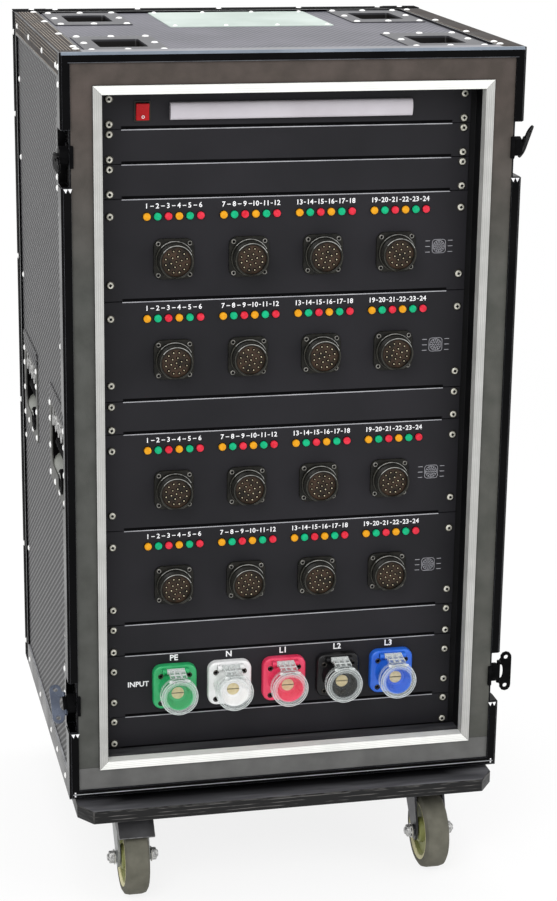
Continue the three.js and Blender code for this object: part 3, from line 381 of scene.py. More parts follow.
# A bright finish for painted highlights and glints.
GLINT = finish("socket_glint", (104, 104, 101), (168, 168, 164), 0.3, 0.1, patch=120.0)
SOCKET_SCREW = finish("socket_screw", (82, 81, 76), (146, 144, 138), 0.3, 0.1, patch=300.0)
FACE = finish("socket_face", (30, 27, 22), (62, 47, 36), 0.5, patch=70.0, depth=0.05, specular=0.15)
PIN = finish("socket_pin", (138, 128, 104), (204, 192, 162), 0.35, 0.1, patch=300.0)
BRASS = finish("brass", (196, 178, 130), (216, 202, 160), 0.38, 0.3, patch=160.0)
WASHER = finish("washer", (24, 23, 20), (40, 38, 34), 0.4, 0.3, patch=200.0, specular=0.3)
SCREW = finish("screw_head", (168, 166, 154), (232, 230, 218), 0.32, 0.2, patch=260.0)
# Near black for black parts, and for painted shade in holes, recesses and gaps.
BLACK_AND_PAINTED_SHADE = finish("dark", (6, 6, 7), (10, 10, 11), 0.6, patch=80.0, specular=0.02)
DARK_STEEL = finish("dark_steel", (40, 37, 34), (70, 66, 60), 0.3, 0.6, patch=200.0)
SWITCH = finish("switch_red", (160, 18, 24), (176, 26, 32), 0.36, patch=70.0, specular=0.15)
BEZEL = finish("bezel", (24, 22, 14), (34, 31, 22), 0.4, patch=100.0, specular=0.3)
DIFFUSER = finish("diffuser", (183, 178, 184), (195, 191, 197), 0.45, patch=14.0, specular=0.3)
LABEL = finish("label_plate", (168, 180, 174), (190, 200, 195), 0.5, patch=9.0, specular=0.08)
LAMPS = {
    tint: finish(f"lamp_{tint}", colour, worn, 0.32, patch=220.0, specular=0.2)
    for tint, colour, worn in (
        ("yellow", (212, 142, 6), (226, 160, 26)),
        ("green", (0, 156, 104), (6, 178, 126)),
        ("red", (200, 26, 46), (220, 50, 70)),
    )
}
MOULDED = {
    name: finish(f"moulded_{tint}", colour, worn, 0.34, patch=60.0, depth=0.05, specular=specular)
    for name, tint, colour, worn, specular in (
        ("pe", "green", (34, 158, 92), (48, 172, 106), 0.5),
        ("n", "white", (226, 226, 226), (238, 238, 238), 0.5),
        ("l1", "red", (220, 50, 86), (232, 70, 106), 0.5),
        ("l2", "black", (16, 16, 17), (26, 26, 28), 0.3),
        ("l3", "blue", (30, 92, 202), (42, 108, 216), 0.5),
    )
}


# Shapes, in millimetres
HERE = Matrix.Identity(4)
SHARP_ANGLE = math.radians(35)


def facing(origin, outward, upward):
    """Places a flat drawing: x to the right and y up as seen from outside, z outward."""
    outward, upward = outward.normalized(), upward.normalized()
    right = upward.cross(outward)
    turn = Matrix((right, upward, outward)).transposed().to_4x4()
    return Matrix.Translation(Vector(origin)) @ turn


def on_front(x, z, y=None):
    """Places a drawing on the panels' plane, or on another plane that faces the front."""
    return facing((x, panel_plane if y is None else y, z), -BACK, UP)


def on_side(sign, y, z, x=None):
    """Places a drawing on a side wall: sign is -1 for the left one and 1 for the right one."""
    return facing((sign * (outer_half if x is None else x), y, z), RIGHT * sign, UP)


def on_top(x, y, z):
    return facing((x, y, z), UP, BACK)


def moved(at, x, y, z=0.0):
    """A placing shifted along its own axes."""
    return at @ Matrix.Translation((x, y, z))


def arc(at, radius, angles, level):
    """Points along an arc, one for each angle in degrees."""
    turns = [math.radians(angle) for angle in angles]
    return [at @ Vector((radius * math.cos(a), radius * math.sin(a), level)) for a in turns]


def ring_points(radius, count, u=0.0, v=0.0, start=0.0):
    """Points evenly round a circle, anticlockwise."""
    return [(u + radius * math.cos(start + 2 * math.pi * i / count),
             v + radius * math.sin(start + 2 * math.pi * i / count)) for i in range(count)]


def rounded(width, height, corner, u=0.0, v=0.0, steps=5):
    """Outline of a rectangle with round corners, anticlockwise."""
    points = []
    for quarter, (sx, sy) in enumerate(((1, -1), (1, 1), (-1, 1), (-1, -1))):
        cx, cy = u + sx * (width / 2 - corner), v + sy * (height / 2 - corner)
        for i in range(steps + 1):
            a = math.radians(-90 + 90 * quarter + 90 * i / steps)
            points.append((cx + corner * math.cos(a), cy + corner * math.sin(a)))
    return points


def inset(outline, by):
    """The outline moved inwards by a distance, corner by corner."""
    points, count = [Vector(p) for p in outline], len(outline)
    inwards = []
    for i, here in enumerate(points):
        before, after = here - points[i - 1], points[(i + 1) % count] - here
        n1 = Vector((-before.y, before.x)).normalized()
        n2 = Vector((-after.y, after.x)).normalized()
        both = n1 + n2
        inwards.append(tuple(here + both * (by / max(0.3, both.dot(n1)))))
    return inwards


def make_piece(name, mesh, materials, body, replaces=()):
    """Makes an object from a mesh in metres, and puts it on its body."""
    data = bpy.data.meshes.new(name)
    mesh.to_mesh(data)
    mesh.free()
    for material in materials:
        data.materials.append(material)
    made = linked(name, data)
    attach(made, body)
    if replaces:
        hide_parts(*replaces)
    return made


def linked(name, data):
    """An object of the scene that shows the data."""
    made = bpy.data.objects.new(name, data)
    bpy.context.scene.collection.objects.link(made)
    return made


class Build:
    """Collects closed shapes into one mesh that rides on a body."""

    def __init__(self, name):
        self.name = name
        self.mesh = bmesh.new()
        self.materials = []

    def index(self, material):
        """The place of a material among those of the mesh."""
        if material not in self.materials:
            self.materials.append(material)
        return self.materials.index(material)

    def add(self, points, polygons, at, material):
        index = self.index(material)
        corners = [self.mesh.verts.new(at @ Vector(p)) for p in points]
        for polygon in polygons:
            face = self.mesh.faces.new([corners[i] for i in polygon])
            face.material_index = index

    def prism(self, outline, low, high, at, material, soft=0.0):
        """Extrudes an outline from low to high; soft rounds the edge of its outer end."""
        levels = [(outline, low)]
        if soft:
            sign = 1 if high > low else -1
            for angle in (0, 30, 60, 90):
                a = math.radians(angle)
                level = high - sign * soft * (1 - math.sin(a))
                levels.append((inset(outline, soft * (1 - math.cos(a))), level))
        else:
            levels.append((outline, high))
        self.loft(levels, at, material)

    def pierced(self, outline, hole, low, high, at, material):
        """Extrudes an outline with a hole from low to high."""
        loops = [outline, hole[::-1]]
        flat = [p for loop in loops for p in loop]
        count = len(flat)
        caps = tessellate_polygon([[Vector((*p, 0)) for p in loop] for loop in loops])
        points = [(*p, low) for p in flat] + [(*p, high) for p in flat]
        polygons = [tuple(reversed(t)) for t in caps] + [tuple(i + count for i in t) for t in caps]
        start = 0
        for loop in loops:
            size = len(loop)
            for i in range(size):
                a, b = start + i, start + (i + 1) % size
                polygons.append((a, b, b + count, a + count))
            start += size
        self.add(points, polygons, at, material)

    def loft(self, levels, at, material):
        """Joins outlines with the same number of points, and closes both ends."""
        count = len(levels[0][0])
        points = [(*p, z) for outline, z in levels for p in outline]
        polygons = [tuple(reversed(range(count)))]
        for level in range(len(levels) - 1):
            base = level * count
            for i in range(count):
                j = (i + 1) % count
                polygons.append((base + i, base + j, base + j + count, base + i + count))
        polygons.append(tuple(range((len(levels) - 1) * count, len(levels) * count)))
        self.add(points, polygons, at, material)

    def lathe(self, profile, at, material, count, flat_below=None, closed=False):
        """Turns a profile of (radius, height) points about the z axis."""
        points, rings, polygons = [], [], []
        for radius, height in profile:
            if radius < 1e-6:
                rings.append([len(points)] * count)
                points.append((0, 0, height))
                continue
            rings.append(list(range(len(points), len(points) + count)))
            for x, y in ring_points(radius, count):
                points.append((x, y if flat_below is None else max(y, flat_below), height))
        pairs = list(zip(rings, rings[1:])) + ([(rings[-1], rings[0])] if closed else [])
        for low, high in pairs:
            for i in range(count):
                j = (i + 1) % count
                corners = dict.fromkeys((low[i], low[j], high[j], high[i]))
                if len(corners) > 2:
                    polygons.append(tuple(corners))
        self.add(points, polygons, at, material)

    def ring(self, profile, at, material, count, flat_below=None):
        """Turns a closed profile that keeps clear of the axis."""
        self.lathe(profile, at, material, count, flat_below, closed=True)

    def disc(self, radius, low, high, at, material, count):
        """A plain round plug from low to high."""
        self.lathe([(0, low), (radius, low), (radius, high), (0, high)], at, material, count)

    def tube(self, path, radius, material, count):
        """A round bar along a path of points."""
        path = [Vector(p) for p in path]
        size, points = len(path), []
        side = (path[1] - path[0]).normalized().orthogonal().normalized()
        for i, here in enumerate(path):
            along = (path[min(i + 1, size - 1)] - path[max(i - 1, 0)]).normalized()
            side = (side - along * side.dot(along)).normalized()
            other = along.cross(side)
            points += [here + (side * x + other * y) for x, y in ring_points(radius, count)]
        polygons = []
        for i in range(size - 1):
            for k in range(count):
                m = (k + 1) % count
                low, high = i * count, (i + 1) * count
                polygons.append((low + k, low + m, high + m, high + k))
        polygons.append(tuple(reversed(range(count))))
        polygons.append(tuple(range((size - 1) * count, size * count)))
        self.add(points, polygons, HERE, material)

    def block(self, low, high, material, at=HERE, soft=0.0):
        """A box between two corners, with softened edges where soft is given."""
        x0, y0, z0 = (min(a, b) for a, b in zip(low, high))
        x1, y1, z1 = (max(a, b) for a, b in zip(low, high))
        outline = [(x0, y0), (x1, y0), (x1, y1), (x0, y1)]
        levels = [(outline, z0), (outline, z1)]
        if soft:
            small = inset(outline, soft)
            levels = [(small, z0), (outline, z0 + soft), (outline, z1 - soft), (small, z1)]
        self.loft(levels, at, material)

    def copy(self, mesh, at, material):
        """Adds a mesh in millimetres, such as lettering."""
        index = self.index(material)
        corners = [self.mesh.verts.new(at @ v.co) for v in mesh.vertices]
        for polygon in mesh.polygons:
            if len(set(polygon.vertices)) > 2:
                face = self.mesh.faces.new([corners[i] for i in polygon.vertices])
                face.material_index = index

    def rivet(self, at, radius=4.8, height=2.0, material=RIVET):
        """A domed head, let a little into what it sits on."""
        dome = [(radius * math.cos(a), height * math.sin(a)) for a in (0, 0.5, 1.0)] + [(0, height)]
        self.lathe([(0, -0.2), (radius, -0.2), *dome], at, material, 12)

    def done(self, body, slot, replaces=()):
        """Shades the mesh smooth between its sharp edges, and makes the piece."""
        bmesh.ops.recalc_face_normals(self.mesh, faces=self.mesh.faces)
        for edge in self.mesh.edges:
            faces = edge.link_faces
            edge.smooth = len(faces) == 2 and faces[0].normal.angle(faces[1].normal, 0) < SHARP_ANGLE
        for face in self.mesh.faces:
            face.smooth = True
        bmesh.ops.scale(self.mesh, vec=(MM, MM, MM), verts=self.mesh.verts)
        make_piece(self.name, self.mesh, self.materials, body, replaces)


lettering = {}


def letters(text, height, bold=0.03):
    """A thin mesh of the text, centred, with capitals of that height."""
    key = (text, height, bold)
    if key not in lettering:
        curve = bpy.data.curves.new("letters", "FONT")
        curve.body = text
        curve.size = height / 0.72
        curve.offset = height * bold
        curve.extrude = 0.09
        curve.align_x, curve.align_y = "CENTER", "CENTER"
        curve.resolution_u = 2
        shape = linked("letters", curve)
        bpy.context.view_layer.update()
        seen = shape.evaluated_get(bpy.context.evaluated_depsgraph_get())
        lettering[key] = bpy.data.meshes.new_from_object(seen)
        bpy.data.objects.remove(shape)
    return lettering[key]


# Finishes of the pieces that the frame holds as they are
WELD_REACH = 0.002 * MM
SIDES = {"left": -1, "right": 1}
CORNERS = [(end, side) for end in ("front", "rear") for side in SIDES]


def softened(piece, width):
    """Rounds an object's sharp edges."""
    soften = piece.modifiers.new("soften", "BEVEL")
    soften.width = width * MM
    soften.segments = 2
    soften.limit_method = "ANGLE"
    soften.angle_limit = math.radians(40)
    return soften


def dress(node, material, width, edge_finish=None):
    """Gives a CAD node its finish, with its edges softened, and a second finish on those edges when one is
    given.
    """
    piece = nodes_shown[node]
    piece.data.materials.clear()
    piece.data.materials.append(material)
    piece.modifiers.new("weld", "WELD").merge_threshold = WELD_REACH
    soften = softened(piece, width)
    if edge_finish:
        piece.data.materials.append(edge_finish)
        soften.material = 1


dress("outer_case", LAMINATE, 0.4)
dress("edge_frame", EDGING, 1.2, EDGE_WEAR_AND_HIGHLIGHT)
dress("case_top", LAMINATE, 0.4)
dress("rack_sleeve", INNER, 0.6)
dress("rear_lid", LAMINATE, 1.0)
dress("base_board", BOARD, 1.2, BOARD_EDGE)
dress("input_panel", PANEL, 0.7)
for number in range(1, 6):
    dress(f"blank_panel_{number}", PANEL, 0.7)
for end, side in CORNERS:
    dress(f"stacking_cup_{end}_{side}", CUP_STEEL, 0.8)
    dress(f"handle_dish_{end}_{side}", DISH_STEEL, 0.8)
    # The right forks take a darker copy of the zinc: painted shade.
    dress(f"castor_fork_{end}_{side}", FORK_PAINTED_SHADE if side == "right" else FORK, 0.5, ZINC)
for end in ("upper", "lower"):
    for side in SIDES:
        dress(f"latch_spindle_{end}_{side}", BLACK_STEEL, 0.4)
        # The lower left wing is painted pale blue as a painted reflection; the others are black steel.
        wing = BLACK_STEEL_PAINTED_REFLECTION if (end, side) == ("lower", "left") else BLACK_STEEL
        dress(f"latch_wing_{end}_{side}", wing, 0.5, STEEL_EDGE)
for corner in ("front_left", "rear_right"):
    dress(f"brake_pedal_{corner}", PEDAL, 0.6, STEEL_EDGE)


# Shock foam: one strip over the top and sides, one along the bottom
def foam_strips():
    joint, half_gap = sleeve_low.z + 3.0, 0.25
    for name, kept_way, filling in (("foam_upper", UP, FOAM), ("foam_bottom", -UP, FOAM_LOW)):
        mesh = bmesh.new()
        mesh.from_mesh(nodes_shown["shock_foam"].data)
        bmesh.ops.remove_doubles(mesh, verts=mesh.verts, dist=WELD_REACH)
        plane = Vector((0, 0, (joint + half_gap * kept_way.z) * MM))
        whole = [*mesh.verts, *mesh.edges, *mesh.faces]
        cut = bmesh.ops.bisect_plane(mesh, geom=whole, plane_co=plane, plane_no=kept_way, clear_inner=True)
        rim = [e for e in cut["geom_cut"] if isinstance(e, bmesh.types.BMEdge)]
        bmesh.ops.triangle_fill(mesh, use_beauty=True, edges=rim)
        bmesh.ops.recalc_face_normals(mesh, faces=mesh.faces)
        strip = make_piece(name, mesh, [filling], "case", ["shock_foam"])
        softened(strip, 1.2)


foam_strips()


# Fasteners of the panels
PANEL_NODES = ["light_panel", "blank_panel_1", "blank_panel_2", "multipin_panel_1", "multipin_panel_2",
               "blank_panel_3", "multipin_panel_3", "multipin_panel_4", "blank_panel_4", "input_panel",
               "blank_panel_5"]
PANEL_GAP, RACK_UNIT, JOINT_HALF = 0.8, 44.45, 217.0
SCREW_COLUMN, SCREW_FROM_TALL_END, SCREW_FROM_LOW_END = 232.5, 21.8, 5.95
CUP_WASHER = [(3.9, 0), (6.0, 0), (5.8, 0.9), (4.6, 1.5), (3.9, 1.2)]
SCREW_HEAD = [(0, 0.2), (4.4, 0.2), (4.3, 1.6), (3.4, 2.5), (1.8, 2.7), (1.8, 2.0), (0, 2.0)]


def panel_screws():
    """Cross-head screws on dark cup washers, in two columns."""
    build = Build("panel_screws")
    for node in PANEL_NODES:
        low, high = span(node)
        units = round((high.z - low.z + PANEL_GAP) / RACK_UNIT)
        edge = SCREW_FROM_TALL_END if units > 1 else SCREW_FROM_LOW_END
        for z in (high.z - edge, low.z + edge):
            for column in (-SCREW_COLUMN, SCREW_COLUMN):
                at = on_front(column, z) @ Matrix.Rotation(random.uniform(0, 1.5), 4, "Z")
                build.ring(CUP_WASHER, at, WASHER, 18)
                build.lathe(SCREW_HEAD, at, SCREW, 20)
                # A dark ring and cross in the head: painted shade of its cross recess.
                build.ring([(0.8, 1.9), (1.8, 1.9), (1.8, 2.45), (0.8, 2.3)], at, BLACK_AND_PAINTED_SHADE, 12)
                for long, wide in ((4.6, 0.9), (0.9, 4.6)):
                    build.block((-long / 2, -wide / 2, 2.1), (long / 2, wide / 2, 2.75), BLACK_AND_PAINTED_SHADE, at)
    build.done("case", "zinc")


def panel_joints():
    """A painted shadow along the lower edge of each panel, and a painted highlight along the upper edge of
    the next one.
    """
    build = Build("panel_joints")
    front, back = panel_plane - 0.1, panel_plane + 0.5
    for node in PANEL_NODES[:-1]:
        low = span(node)[0].z
        below = low - PANEL_GAP
        # A near-black strip at the foot of the panel: painted shadow.
        build.block((-JOINT_HALF, front, low), (JOINT_HALF, back, low + 3.4), BLACK_AND_PAINTED_SHADE)
        # A pale strip at the head of the panel below: painted highlight.
        build.block((-JOINT_HALF, front - 0.1, below - 1.1), (JOINT_HALF, back, below), PANEL_EDGE_HIGHLIGHT)
    build.done("case", "panel")


panel_screws()
panel_joints()


# Lamps, multipin sockets and their lettering
SOCKET_PITCH, SOCKET_OFFSET, SOCKET_DROP = 98.5, -2.5, 78.7
GROUP_PITCH, LAMP_PITCH, LAMP_DROP = 100.0, 14.0, 23.2
NUMBER_DROP, DIAGRAM_DROP, DIAGRAM_X = 10.0, 73.6, 204.5
LETTER_PLANE = panel_plane - 0.06


def pin_places(rings, start=0.0):
    """The middle of a socket, and the places of its rings of pins, each with a radius and a count."""
    return [(0, 0)] + [place for radius, count in rings for place in ring_points(radius, count, start=start)]


def multipin_face(build, at):
    """A socket with a square flange, a threaded shell with a flat, painted highlight arcs over its rims, and
    nineteen pins.
    """
    build.prism(rounded(53, 53, 11), 0, 4.0, at, SHELL, soft=1.0)
    for x, y in ((-20.5, -20.5), (20.5, -20.5), (20.5, 20.5), (-20.5, 20.5)):
        screw = moved(at, x, y, 3.8)
        build.ring([(1.9, 0), (3.2, 0), (3.1, 1.2), (2.6, 1.6), (1.9, 1.4)], screw, SOCKET_SCREW, 14)
        # A dark disc in the middle of each screw: painted shade of its recess.
        build.disc(1.9, 0, 0.9, screw, BLACK_AND_PAINTED_SHADE, 8)
    flat = -20.2
    build.ring([(18.8, 3.4), (24.6, 3.4), (24.6, 9.0), (23.6, 10.4), (18.8, 10.4)], at, SHELL, 44)
    build.ring([(23.7, 10.0), (24.7, 9.2), (24.75, 9.9), (23.8, 10.7)], at, SHELL_EDGE, 44)
    shell = [(18.8, 10.0)]
    for start in (11.6, 14.1, 16.6, 19.1):
        shell += [(21.7, start), (22.5, start + 0.6), (22.5, start + 1.4), (21.7, start + 2.0)]
    shell += [(22.5, 22.4), (21.6, 23.8), (20.4, 24.0), (19.5, 23.4), (19.5, 19.0), (18.8, 19.0)]
    build.ring(shell, at, SHELL, 44, flat)
    build.ring([(20.6, 23.7), (22.0, 23.3), (21.9, 23.95), (20.7, 24.15)], at, SHELL_EDGE, 44, flat)
    build.lathe([(0, 3.4), (19.6, 3.4), (19.6, 20.8), (18.9, 21.2), (0, 21.2)], at, FACE, 32, flat + 0.8)
    # Bright arcs over the top of the two rims: painted highlights.
    build.tube(arc(at, 24.2, range(26, 145, 8), 10.3), 0.55, GLINT, 8)
    build.tube(arc(at, 21.2, range(24, 151, 8), 23.7), 0.6, GLINT, 8)
    for x, y in pin_places(((7.0, 6), (14.2, 12)), math.radians(15)):
        pin = moved(at, x, y, 21.0)
        build.ring([(1.0, 0), (2.2, 0), (2.1, 0.5), (1.0, 0.7)], pin, BLACK_AND_PAINTED_SHADE, 10)
        build.lathe([(0, 0), (1.0, 0), (0.95, 1.3), (0.6, 1.7), (0, 1.8)], pin, PIN, 8)


def lamp(build, at, tint):
    """A phase lamp: a coloured dome in a dark ring."""
    build.ring([(4.9, 0), (5.6, 0), (5.5, 0.7), (4.9, 0.9)], at, BLACK_AND_PAINTED_SHADE, 24)
    dome = [(0, 0), (5.0, 0), (5.0, 2.6), (4.6, 3.4), (3.4, 3.9), (1.8, 4.0), (0, 4.0)]
    build.lathe(dome, at, LAMPS[tint], 24)


def pin_diagram(build, at):
    """Outline of a socket flange with its pins, and short ticks to each side."""
    height = 0.12
    build.pierced(rounded(18.6, 18.6, 4), rounded(17.6, 17.6, 3.5), 0, height, at, LEGEND_DIM)
    for radius in (8.0, 4.7):
        build.pierced(ring_points(radius, 24), ring_points(radius - 0.5, 24), 0, height, at, LEGEND_DIM)
    for x, y in pin_places(((2.6, 6), (6.2, 12))):
        build.prism(ring_points(0.7, 8, x, y), 0, height, at, LEGEND_DIM)
    for x in (-15.4, 15.4):
        for y in (-7.5, 0, 7.5):
            build.prism(rounded(6.6, 0.7, 0.3, x, y, 1), 0, height, at, LEGEND_DIM)


def numbered_lamp(lamps, legend, x, top, index, step):
    """One of the six lamps over a socket, with its number and the dash to the next number."""
    lamp(lamps, on_front(x, top - LAMP_DROP), ("yellow", "green", "red")[step % 3])
    count, z = index * 6 + step + 1, top - NUMBER_DROP
    legend.copy(letters(str(count), 6.6, 0.022), on_front(x, z, LETTER_PLANE), LEGEND)
    if step < 5:
        wide = sum(4.8 if n < 10 else 10.2 for n in (count, count + 1)) / 2
        dash = rounded(min(4.8, LAMP_PITCH - wide - 0.9), 1.0, 0.3, steps=1)
        legend.prism(dash, 0, 0.14, on_front(x + LAMP_PITCH / 2, z), LEGEND)


def multipin_panels():
    """The four panels with four sockets each, their lamps, numbers and pin diagrams."""
    for number in range(1, 5):
        node = f"multipin_panel_{number}"
        low, high = span(node)
        top = high.z + PANEL_GAP / 2
        parts = [Build(f"{node}_{part}") for part in ("face", "sockets", "lamps", "legend")]
        face, sockets, lamps, legend = parts
        back = panel_plane + 3.0
        face.block((-panel_half, panel_plane, low.z), (panel_half, back, high.z), PANEL, soft=0.5)
        for index in range(4):
            place = index - 1.5
            multipin_face(sockets, on_front(SOCKET_OFFSET + place * SOCKET_PITCH, top - SOCKET_DROP))
            for step in range(6):
                x = place * GROUP_PITCH + (step - 2.5) * LAMP_PITCH
                numbered_lamp(lamps, legend, x, top, index, step)
        pin_diagram(legend, on_front(DIAGRAM_X, top - DIAGRAM_DROP))
        for part in parts:
            part.done("case", "panel", [node])


multipin_panels()


# Light panel: width, height and corner radius of its openings, and the ends of its diffuser
SWITCH_OPENING, BEZEL_OUTSIDE, BEZEL_INSIDE = (18.0, 23.2, 0.6), (21.0, 26.2, 1.6), (17.6, 22.8, 0.6)
DIFFUSER_LEFT, DIFFUSER_RIGHT, DIFFUSER_END = -155.0, 161.0, 1.4
DIFFUSER_HALF, DIFFUSER_BASE, DIFFUSER_PROUD = 11.0, 3.0, 9.0
ROCKER_TILT = 8


def light_panel_face():
    """The panel with its switch opening, and the bezel round it."""
    low, high = span("light_panel")
    x, z, at = middle("rocker_switch").x, middle("light_panel").z, on_front(0, 0)
    build = Build("light_panel_face")
    outline = [(-panel_half, low.z), (panel_half, low.z), (panel_half, high.z), (-panel_half, high.z)]
    build.pierced(outline, rounded(*SWITCH_OPENING, x, z), -3.0, 0, at, PANEL)
    build.pierced(rounded(*BEZEL_OUTSIDE, x, z), rounded(*BEZEL_INSIDE, x, z), 0, 1.8, at, BEZEL)
    build.done("case", "panel", ["light_panel"])


def diffuser_lens():
    """The long pale lens, with a round front on a straight base."""
    section = [(0.2, -DIFFUSER_HALF), (0.2, DIFFUSER_HALF)]
    for angle in range(90, -91, -15):
        a = math.radians(angle)
        bulge = (DIFFUSER_PROUD - DIFFUSER_BASE) * max(0.0, math.cos(a)) ** 0.6
        section.append((-DIFFUSER_BASE - bulge, DIFFUSER_HALF * math.sin(a)))
    ends = (DIFFUSER_LEFT, DIFFUSER_LEFT + DIFFUSER_END, DIFFUSER_RIGHT - DIFFUSER_END, DIFFUSER_RIGHT)
    build = Build("diffuser_lens")
    at = facing((0, panel_plane, middle("light_panel").z), RIGHT, UP)
    build.loft([(section, x) for x in ends], at, DIFFUSER)
    build.done("case", "clear", ["light_panel"])


def rocker_cap():
    """The red rocker, tilted at rest, with a ring on its lower half and a bar on its upper half."""
    build = Build("rocker_cap")
    centre = Vector((middle("rocker_switch").x, panel_plane, middle("light_panel").z))
    tilt = Matrix.Translation(centre) @ Matrix.Rotation(math.radians(ROCKER_TILT), 4, "X")
    cap = [(0, -10.6), (6.0, -5.2), (6.0, 5.2), (0, 10.6), (-4.4, 10.6), (-3.0, 0), (-4.4, -10.6)]
    levels = [(inset(cap, 0.5), -8.4), (cap, -7.9), (cap, 7.9), (inset(cap, 0.5), 8.4)]
    build.loft(levels, tilt @ facing((0, 0, 0), RIGHT, UP), SWITCH)
    mark = tilt @ facing((0.6, -3.85, -6.4), Vector((0, -1, -0.136)), UP)
    build.pierced(ring_points(2.0, 20), ring_points(1.35, 20), 0, 0.35, mark, LEGEND)
    bar = tilt @ facing((0.6, -3.6, 5.6), Vector((0, -1, 0.136)), UP)
    build.prism(rounded(0.8, 4.0, 0.3, steps=1), 0, 0.3, bar, SWITCH)
    build.done("rocker", "switch", ["rocker_switch"])


light_panel_face()
diffuser_lens()
rocker_cap()


# Input sockets and their clear flap lids
INPUTS = ("pe", "n", "l1", "l2", "l3")
HINGE_OUT, HINGE_RISE = 15.0, 25.0


def input_socket(name):
    """A moulded socket with two half-round brass contacts and the ears of its lid."""
    x, _, z = middle(f"input_socket_{name}")
    at, colour = on_front(x, z), MOULDED[name]
    build = Build(f"input_socket_{name}_body")
    build.prism(rounded(60, 62, 12, steps=7), 0, 10, at, colour, soft=2.6)
    for u, v in ((-19.5, -22.5), (19.5, -22.5), (19.5, 16.5), (-19.5, 16.5)):
        hole = moved(at, u, v, 9.6)
        build.ring([(2.2, 0), (4.0, 0), (3.8, 0.9), (3.1, 1.5), (2.2, 1.1)], hole, DARK_STEEL, 16)
        # A dark disc in each screw hole: painted shade of the hole.
        build.disc(2.2, 0.1, 0.5, hole, BLACK_AND_PAINTED_SHADE, 6)
    collar = [(8.6, 8.0), (23.0, 8.0), (23.0, 10.5), (21.4, 13.5), (20.6, 17.0), (20.0, 36.0), (20.5, 38.0),
              (20.5, 43.0), (19.8, 44.0), (18.2, 44.0), (17.2, 42.6), (16.6, 38.0), (12.4, 31.0), (8.6, 31.0)]
    build.ring(collar, at, colour, 44)
    half = [(p, max(q, 0.7)) for p, q in ring_points(8.5, 24) if q > -0.1]
    for turn in (0, 180):
        build.prism(half, 8.0, 31.0, at @ Matrix.Rotation(math.radians(turn), 4, "Z"), BRASS)
    build.prism(ring_points(8.4, 24), 8.0, 28.5, at, DARK_STEEL)
    hinge_y, hinge_z = panel_plane - HINGE_OUT, z + HINGE_RISE
    for sign in (-1, 1):
        inner, outer = sorted((x + sign * 12.3, x + sign * 18.3))
        build.disc(3.5, inner - outer, 0, facing((outer, hinge_y, hinge_z), RIGHT, UP), colour, 18)
        low, high = (inner, hinge_y, hinge_z - 3.5), (outer, panel_plane - 9.5, hinge_z + 3.5)
        build.block(low, high, colour, soft=0.4)
    build.tube([(x - 18.0, hinge_y, hinge_z), (x + 18.0, hinge_y, hinge_z)], 1.5, ZINC, 10)
    build.done("case", f"socket_{name}", [f"input_socket_{name}"])


def input_lid(name):
    """The clear cap over a socket, with its thick rims, painted highlight beads on them, ribbed arm, tabs and
    knuckle.
    """
    x, _, z = middle(f"input_socket_{name}")
    at = on_front(x, z)
    lid = Build(f"input_lid_{name}_cap")
    cap = [(24.0, 36.0), (25.3, 36.0), (25.5, 36.8), (25.5, 46.8), (24.6, 48.2), (23.4, 48.8), (22.4, 48.2),
           (0, 48.0), (0, 47.2), (22.6, 47.2), (24.0, 46.2)]
    lid.lathe(cap, at, CLEAR, 48)
    lid.ring([(23.6, 35.6), (25.4, 35.6), (25.6, 36.3), (25.4, 37.2), (23.8, 37.2)], at, HAZE, 48)
    rim = [(17.6, 48.1), (18.6, 47.4), (24.6, 47.0), (25.4, 47.2), (25.2, 48.0), (24.3, 48.8), (18.4, 48.9)]
    lid.ring(rim, at, HAZE, 48)
    # Thin near-white beads round the rims: painted highlights.
    for radius, level, thick in ((24.7, 48.5, 0.45), (21.9, 49.0, 0.3), (25.3, 42.0, 0.3)):
        bead = [(radius - thick, level - thick), (radius + thick, level - thick), (radius, level + thick)]
        lid.ring(bead, at, CLEAR_EDGE_AND_HIGHLIGHT, 48)
    side = facing((x, panel_plane, z), RIGHT, UP)
    arm = [(-15.0, 28.5), (-40.0, 26.4), (-46.5, 24.6), (-47.0, 22.0), (-45.5, 20.0), (-15.0, 21.6)]
    lid.prism(arm, -10.5, 10.5, side, HAZE)
    # Near-white ribs on the arm: moulded ribs, painted bright as highlights.
    rib = [(-17.0, 27.0), (-40.0, 24.9), (-40.0, 26.6), (-17.0, 28.9)]
    for u, wide in ((-11.4, 0.9), (-5.0, 2.0), (2.6, 2.6), (10.5, 0.9)):
        lid.prism(rib, u, u + wide, side, CLEAR_EDGE_AND_HIGHLIGHT)
    lid.prism([(-33.0, 26.6), (-35.0, 26.4), (-35.0, 27.6), (-33.0, 27.8)], -11.0, 11.0, side, CLEAR_EDGE_AND_HIGHLIGHT)
    for sign in (-1, 1):
        tab = on_front(x + sign * 10.0, z + 22.6, panel_plane - 44.5)
        lid.prism([(-4.2, -1.4), (3.0, -2.6), (4.6, 0.4), (-3.4, 1.8)], 0, 2.0, tab, CLEAR_EDGE_AND_HIGHLIGHT, soft=0.5)
    knuckle = facing((x - 12.0, panel_plane - HINGE_OUT, z + HINGE_RISE), RIGHT, UP)
    lid.ring([(1.9, 0), (3.8, 0), (3.8, 24.0), (1.9, 24.0)], knuckle, CLEAR_EDGE_AND_HIGHLIGHT, 18)
    lid.done(f"flap_{name}", "clear", [f"input_lid_{name}"])


